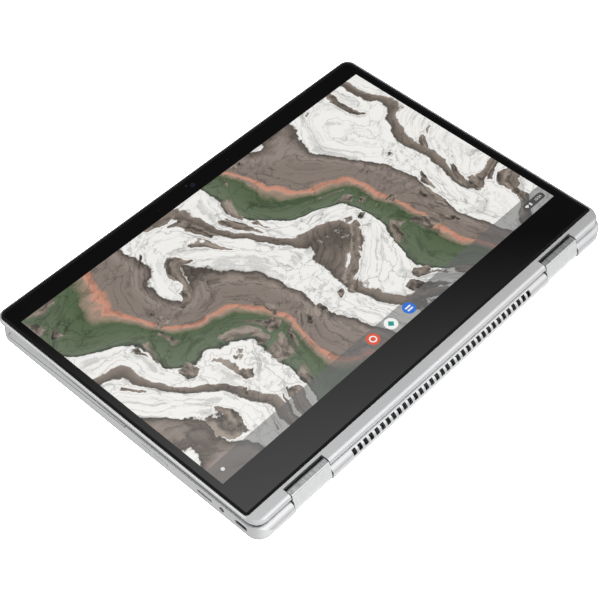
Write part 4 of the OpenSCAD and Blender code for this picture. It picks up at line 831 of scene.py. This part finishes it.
def make_app_icons():
    """Three round icons in the middle of the shelf, each with a plain sign of its own."""
    ring_r, ring_hole_r = 2.6 * MM, 1.7 * MM
    bar_w, bar_d, bar_r, bar_y = 4.8 * MM, 1.1 * MM, 0.5 * MM, 1.1 * MM
    diamond_r = 2.5 * MM
    middles = [Vector((x * MM, ICON_Y)) for x in (-17.3, -0.6, 16.5)]
    white = lit_sign_film("lit_white_sign", "fbfbfa")
    discs = (
        ("icon_warm", lit_sign_film("lit_warm_sign", "e2563a")),
        ("icon_pale", white),
        ("icon_blue", lit_sign_film("lit_blue_sign", "2f74d8")),
    )
    for (name, hue), middle in zip(discs, middles):
        on_screen(name, [plate([circle(ICON_R, middle)], ICON_TOP, FILM_T)], hue)
    ring = [circle(ring_r, middles[0], 32), hole(circle(ring_hole_r, middles[0], 32))]
    bars = [[rectangle(bar_w, bar_d, bar_r, middles[2] + Vector((0, y)), 4)] for y in (-bar_y, bar_y)]
    on_screen("icon_signs_light", [plate(loops, GLYPH_TOP, FILM_T) for loops in (ring, *bars)], white)
    diamond = [middles[1] + diamond_r * Vector(corner) for corner in ((1, 0), (0, 1), (-1, 0), (0, -1))]
    teal = lit_sign_film("lit_teal_sign", "1f9c92")
    on_screen("icon_sign_teal", [plate([diamond], GLYPH_TOP, FILM_T)], teal)


def make_shelf_signs():
    """Launcher dot at the left end of the shelf, and the status pill with a clock at its right end."""
    dot_in, dot_r = 7.3 * MM, 1.25 * MM
    dot = [circle(dot_r, Vector((lit_mid.x - LIT_W / 2 + dot_in, ICON_Y)), 32)]
    pill_w, pill_d, pill_r = 20 * MM, 5.4 * MM, 2.6 * MM
    pill_mid = Vector((142 * MM, ICON_Y - 0.6 * MM))
    pill = [rectangle(pill_w, pill_d, pill_r, pill_mid, 6)]
    dim_grey = lit_sign_film("lit_grey_pill", "565758", strength=0.8)
    on_screen("status_pill", [plate(pill, ICON_TOP, FILM_T)], dim_grey)
    # on the pill from its left: a signal's fan, a battery's cell and the clock
    fan_foot = pill_mid + Vector((-6.8 * MM, -1.2 * MM))
    fan_r = 2.5 * MM
    fan = [fan_foot]
    for degrees in range(45, 136, 15):
        turn = math.radians(degrees)
        fan.append(fan_foot + fan_r * Vector((math.cos(turn), math.sin(turn))))
    cell_w, cell_d, cell_r = 1.5 * MM, 2.5 * MM, 0.3 * MM
    cell = [rectangle(cell_w, cell_d, cell_r, pill_mid + Vector((-3.4 * MM, 0)), 3)]
    digit_size = 2.9 * MM
    digits = lettering("10:24", digit_size, pill_mid + Vector((4.2 * MM, 0)), FILM_T)
    digits.transform(Matrix.Translation((0, 0, GLYPH_TOP - FILM_T)))
    signs = [digits] + [plate(loops, GLYPH_TOP, FILM_T) for loops in (dot, cell, [fan])]
    on_screen("status_signs", signs, lit_sign_film("lit_pale_signs", "e8e8e6"))


# ---- key legends ----

KEY_WEB = 2.6 * MM
INK_T = 0.015 * MM
SMALL_TEXT = 2.4 * MM
DOUBLE_TEXT = SMALL_TEXT * 1.15
LETTER_TEXT = 4.0 * MM

# Signs of each row as (width in key units, text), from the left of the open keyboard
FUNCTION_SIGNS = [(1, sign) for sign in ["esc"] + [f"F{i}" for i in range(1, 13)] + ["del"]]
NUMBER_SIGNS = [(1, f"{upper}\n{lower}") for upper, lower in zip("~!@#$%^&*()_+", "`1234567890-=")]
NUMBER_SIGNS += [(2, "backspace")]
UPPER_SIGNS = [(1.5, "tab")] + [(1, sign) for sign in "QWERTYUIOP"]
UPPER_SIGNS += [(1, "{\n["), (1, "}\n]"), (1.5, "|\n\\")]
HOME_SIGNS = [(1.75, "caps")] + [(1, sign) for sign in "ASDFGHJKL"] + [(1, ":\n;"), (1, "\"\n'")]
LOWER_SIGNS = [(2.25, "shift")] + [(1, sign) for sign in "ZXCVBNM"]
LOWER_SIGNS += [(1, "<\n,"), (1, ">\n."), (1, "?\n/"), (2.75, "shift")]
BOTTOM_SIGNS = [(1.5, "ctrl"), (1.25, "fn"), (1.25, "alt"), (6, ""), (1, "alt"), (1, "ctrl")]
ENTER_SIGNS = [(1, "enter")]


def make_legends(node, signs, ink):
    """Ink on the caps of one row, facing down with the deck and read with the hinge edge on top."""
    low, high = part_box(node)
    pitch = (high.x - low.x + KEY_WEB) / sum(width for width, sign in signs)
    left = low.x - KEY_WEB / 2
    flip = Matrix.Translation((0, 0, low.z)) @ Matrix.Rotation(math.pi, 4, "X")
    meshes = []
    for width, sign in signs:
        middle = Vector((left + width * pitch / 2, -(low.y + high.y) / 2))
        size = LETTER_TEXT if len(sign) == 1 else DOUBLE_TEXT if "\n" in sign else SMALL_TEXT
        if sign:
            mesh = lettering(sign, size, middle, INK_T)
            mesh.transform(flip)
            meshes.append(mesh)
        left += width * pitch
    piece(node + "_legends", meshes, node, ink)


def make_arrow_signs(ink):
    """Small triangles on the four arrow keys."""
    low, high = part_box("arrow_keys")
    pitch = (high.x - low.x + KEY_WEB) / 3
    middle_x = (low.x + high.x) / 2
    half_y = (high.y - low.y) / 4
    side = 1.2 * MM
    spread = 0.8
    places = [
        (Vector((middle_x - pitch, high.y - half_y)), Vector((-1, 0))),
        (Vector((middle_x + pitch, high.y - half_y)), Vector((1, 0))),
        (Vector((middle_x, high.y - half_y)), Vector((0, 1))),
        (Vector((middle_x, low.y + half_y)), Vector((0, -1))),
    ]
    meshes = []
    for middle, way in places:
        across = way.orthogonal()
        left = middle + (across - way) * side * spread
        right = middle - (across + way) * side * spread
        meshes.append(plate([[middle + way * side, left, right]], low.z, INK_T))
    piece("arrow_keys_legends", meshes, "arrow_keys", ink)


# ---- sockets ----

CONTACT_L = 3.2 * MM
CONTACT_T = 0.06 * MM
CONTACT_EDGE = 0.015 * MM
CONTACT_SHARE = 0.55
MOUTH_TO_CONTACT = 1.9 * MM


def make_contacts(node, side, rows, count, pitch, gold):
    """Gold contacts lying on a socket's tongue: short strips side by side, one row for each height."""
    low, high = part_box(node)
    middle = (low + high) / 2
    half_w = pitch * CONTACT_SHARE / 2
    start = (high.x if side > 0 else low.x) - side * MOUTH_TO_CONTACT
    near, far = sorted((start, start - side * CONTACT_L))
    meshes = []
    for height in rows:
        for i in range(count):
            y = middle.y + (i - (count - 1) / 2) * pitch
            first = Vector((near, y - half_w, height))
            second = Vector((far, y + half_w, height + CONTACT_T))
            meshes.append(block(first, second, CONTACT_EDGE))
    piece(node + "_contacts", meshes, "base", gold)


# ---- surroundings ----

def make_world():
    """Even light for matt faces; polished ones see a bright near side and ground, and a patch overhead."""
    world = bpy.data.worlds.new("world")
    bpy.context.scene.world = world
    world.use_nodes = True
    tree = world.node_tree
    tree.nodes.clear()
    ray = add(tree, "LightPath").outputs
    way = add(tree, "TexCoord").outputs["Generated"]
    height = add(tree, "SeparateXYZ", {"Vector": way}).outputs["Z"]
    leaning, towards, across = [
        add(tree, "VectorMath", {0: way, 1: axis}, operation="DOT_PRODUCT").outputs["Value"]
        for axis in ((0, -0.17, 1), (-0.735, -0.678, 0), (0.735, -0.678, 0))
    ]
    room = {}
    # each level changes smoothly from one value to another along a direction
    for name, along, start, end, before, after in (
        # the patch overhead leans towards the hinge edge's side and fades before the zenith
        ("patch_edge", leaning, 0.655, 0.80, 0.0, 1.7),
        ("patch_end", height, 0.86, 0.94, 1.0, 0.2),
        # a wall stands on the camera's side, brighter high up and darker right behind the camera
        ("wall_side", towards, -0.55, 0.1, 0.03, 1.22),
        ("wall_foot", height, -0.10, 0.12, 0.0, 1.0),
        ("band_foot", height, 0.35, 0.6, 1.0, 1.45),
        ("band_end", towards, 0.42, 0.58, 1.0, 0.62),
        # the ground is brighter straight below and on the camera's right, and ends at the horizon
        ("ground_depth", height, -0.12, -0.6, 0.45, 1.25),
        ("ground_side", across, -0.3, 0.2, 0.74, 1.25),
        ("horizon", height, 0.05, -0.08, 0.0, 1.0),
    ):
        room[name] = add(
            tree, "MapRange",
            {"Value": along, "From Min": start, "From Max": end, "To Min": before, "To Max": after},
            interpolation_type="SMOOTHSTEP",
        ).outputs["Result"]
    for name, first, operation, second in (
        ("patch", "patch_edge", "MULTIPLY", "patch_end"),
        ("wall", "wall_side", "MULTIPLY", "wall_foot"),
        ("band", "band_foot", "MULTIPLY", "band_end"),
        ("side", "wall", "MULTIPLY", "band"),
        ("near_ground", "ground_depth", "MINIMUM", "ground_side"),
        ("ground", "near_ground", "MULTIPLY", "horizon"),
        ("surroundings", "side", "MAXIMUM", "ground"),
        ("mirrored", "surroundings", "MAXIMUM", "patch"),
    ):
        joined = add(tree, "Math", {0: room[first], 1: room[second]}, operation=operation)
        room[name] = joined.outputs["Value"]
    # a plain Mix node's sockets: 0 is the factor, 2 and 3 are what it mixes
    level = add(tree, "Mix", {0: ray["Is Diffuse Ray"], 2: 1.0, 3: 0.55}).outputs[0]
    shown = add(tree, "Mix", {0: ray["Is Glossy Ray"], 2: level, 3: room["mirrored"]}).outputs[0]
    light = add(tree, "Background", {"Color": grey(1), "Strength": shown}).outputs["Background"]
    add(tree, "OutputWorld", {"Surface": light})


def make_softbox():
    """One wide lamp overhead, for the shapes' soft shading; mirror-like faces don't show it."""
    data = bpy.data.lights.new("softbox", "AREA")
    data.energy = 11
    data.size = 1.2
    lamp = bpy.data.objects.new("softbox", data)
    lamp.location = (-0.5, -0.4, 1.5)
    lamp.rotation_mode = "QUATERNION"
    lamp.rotation_quaternion = (-lamp.location).to_track_quat("-Z", "Y")
    lamp.visible_glossy = False
    bpy.context.scene.collection.objects.link(lamp)


def faint_white_ground():
    """White ground under a pale veil, so that shadows are faint; from below it can't be seen."""
    material, tree = blank("white_ground")
    white = add(tree, "BsdfDiffuse", {"Color": grey(0.9)}).outputs["BSDF"]
    below = add(tree, "NewGeometry").outputs["Backfacing"]
    clear = add(tree, "MapRange", {"Value": below, "To Min": 0.45, "To Max": 1.0}).outputs["Result"]
    air = add(tree, "BsdfTransparent").outputs["BSDF"]
    return covered(material, "MixShader", {"Fac": clear, 1: white, 2: air})


def make_floor():
    """Ground that shows the object's shadow only, a hair under the lowest face."""
    half = 20.0
    below = 0.02 * MM
    mesh = bpy.data.meshes.new("ground")
    corners = [(-half, -half, 0), (half, -half, 0), (half, half, 0), (-half, half, 0)]
    mesh.from_pydata(corners, [], [(0, 1, 2, 3)])
    mesh.materials.append(faint_white_ground())
    ground = bpy.data.objects.new("ground", mesh)
    bpy.context.scene.collection.objects.link(ground)
    ground.location.z = -below
    ground.is_shadow_catcher = True
    ground.visible_diffuse = False
    ground.visible_glossy = False
    ground.visible_shadow = False


# ---- putting it together ----

def finish_nodes():
    """Gives every CAD node the material of its slot."""
    plastic = moulded_black_plastic()
    finishes = {
        "silver_case": blasted_anodised_aluminium(),
        "barrel_zinc": satin_painted_zinc(),
        "button_metal": satin_anodised_buttons(),
        "grille_metal": perforated_aluminium_sheet(),
        "foot_rubber": moulded_foot_rubber(),
        "hinge_steel": oiled_machined_steel(),
        "gear_brass": cut_brass(),
        "screw_steel": nickel_plated_screw_steel(),
        "key_plastic": textured_key_plastic(),
        "key_frame_plastic": painted_keyboard_frame(),
        "touchpad_surface": laminated_touchpad_film(),
        "sheet_steel": zinc_coated_sheet(),
        "circuit_board": solder_masked_board(),
        "standoff_brass": turned_brass(),
        "copper": flattened_copper(),
        "fin_aluminium": stacked_fin_aluminium(),
        "fan_plastic": plastic,
        "battery_foil": laminated_battery_foil(),
        "socket_shell": drawn_socket_steel(),
        "jack_plastic": plastic,
        "screen_glass": black_printed_glass(),
        "gasket_rubber": moulded_screen_gasket(),
        "panel_stack": laminated_panel_edge(),
        "foam": black_cell_foam(),
        "camera_black": plastic,
        "antenna_foil": copper_antenna_film(),
        "magnet_nickel": nickel_plated_magnet(),
    }
    for part in frame["record"]["subparts"]:
        mesh = nodes[part["node"]].data
        mesh.materials.clear()
        mesh.materials.append(finishes[part["material_slot"]])
    return finishes


node_finishes = finish_nodes()

make_screen_glass(node_finishes["screen_glass"])
make_camera_window(coated_camera_lens(), node_finishes["camera_black"])
make_lit_picture(lit_marbled_picture())
make_app_icons()
make_shelf_signs()

legend_ink = printed_legend_ink()
rows_of_signs = {
    "function_keys": FUNCTION_SIGNS,
    "number_keys": NUMBER_SIGNS,
    "upper_letter_keys": UPPER_SIGNS,
    "home_letter_keys": HOME_SIGNS,
    "lower_letter_keys": LOWER_SIGNS,
    "bottom_keys": BOTTOM_SIGNS,
    "enter_key": ENTER_SIGNS,
}
for row_node, row_signs in rows_of_signs.items():
    make_legends(row_node, row_signs, legend_ink)
make_arrow_signs(legend_ink)

plated_gold = gold_plated_contact()
# middles of the tongues below the tops of the sockets' shells, and contacts on the tongues' faces
c_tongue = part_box("usb_c_port_left")[1].z - 1.65 * MM
a_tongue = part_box("usb_a_port")[1].z - 2.45 * MM
c_rows = (c_tongue + 0.35 * MM, c_tongue - 0.41 * MM)
a_rows = (a_tongue - 0.06 * MM,)
make_contacts("usb_c_port_left", -1, c_rows, count=12, pitch=0.5 * MM, gold=plated_gold)
make_contacts("usb_c_port_right", 1, c_rows, count=12, pitch=0.5 * MM, gold=plated_gold)
make_contacts("usb_a_port", 1, a_rows, count=4, pitch=2.5 * MM, gold=plated_gold)

bpy.context.scene.view_settings.view_transform = "Standard"
make_camera()
make_world()
make_softbox()
make_floor()
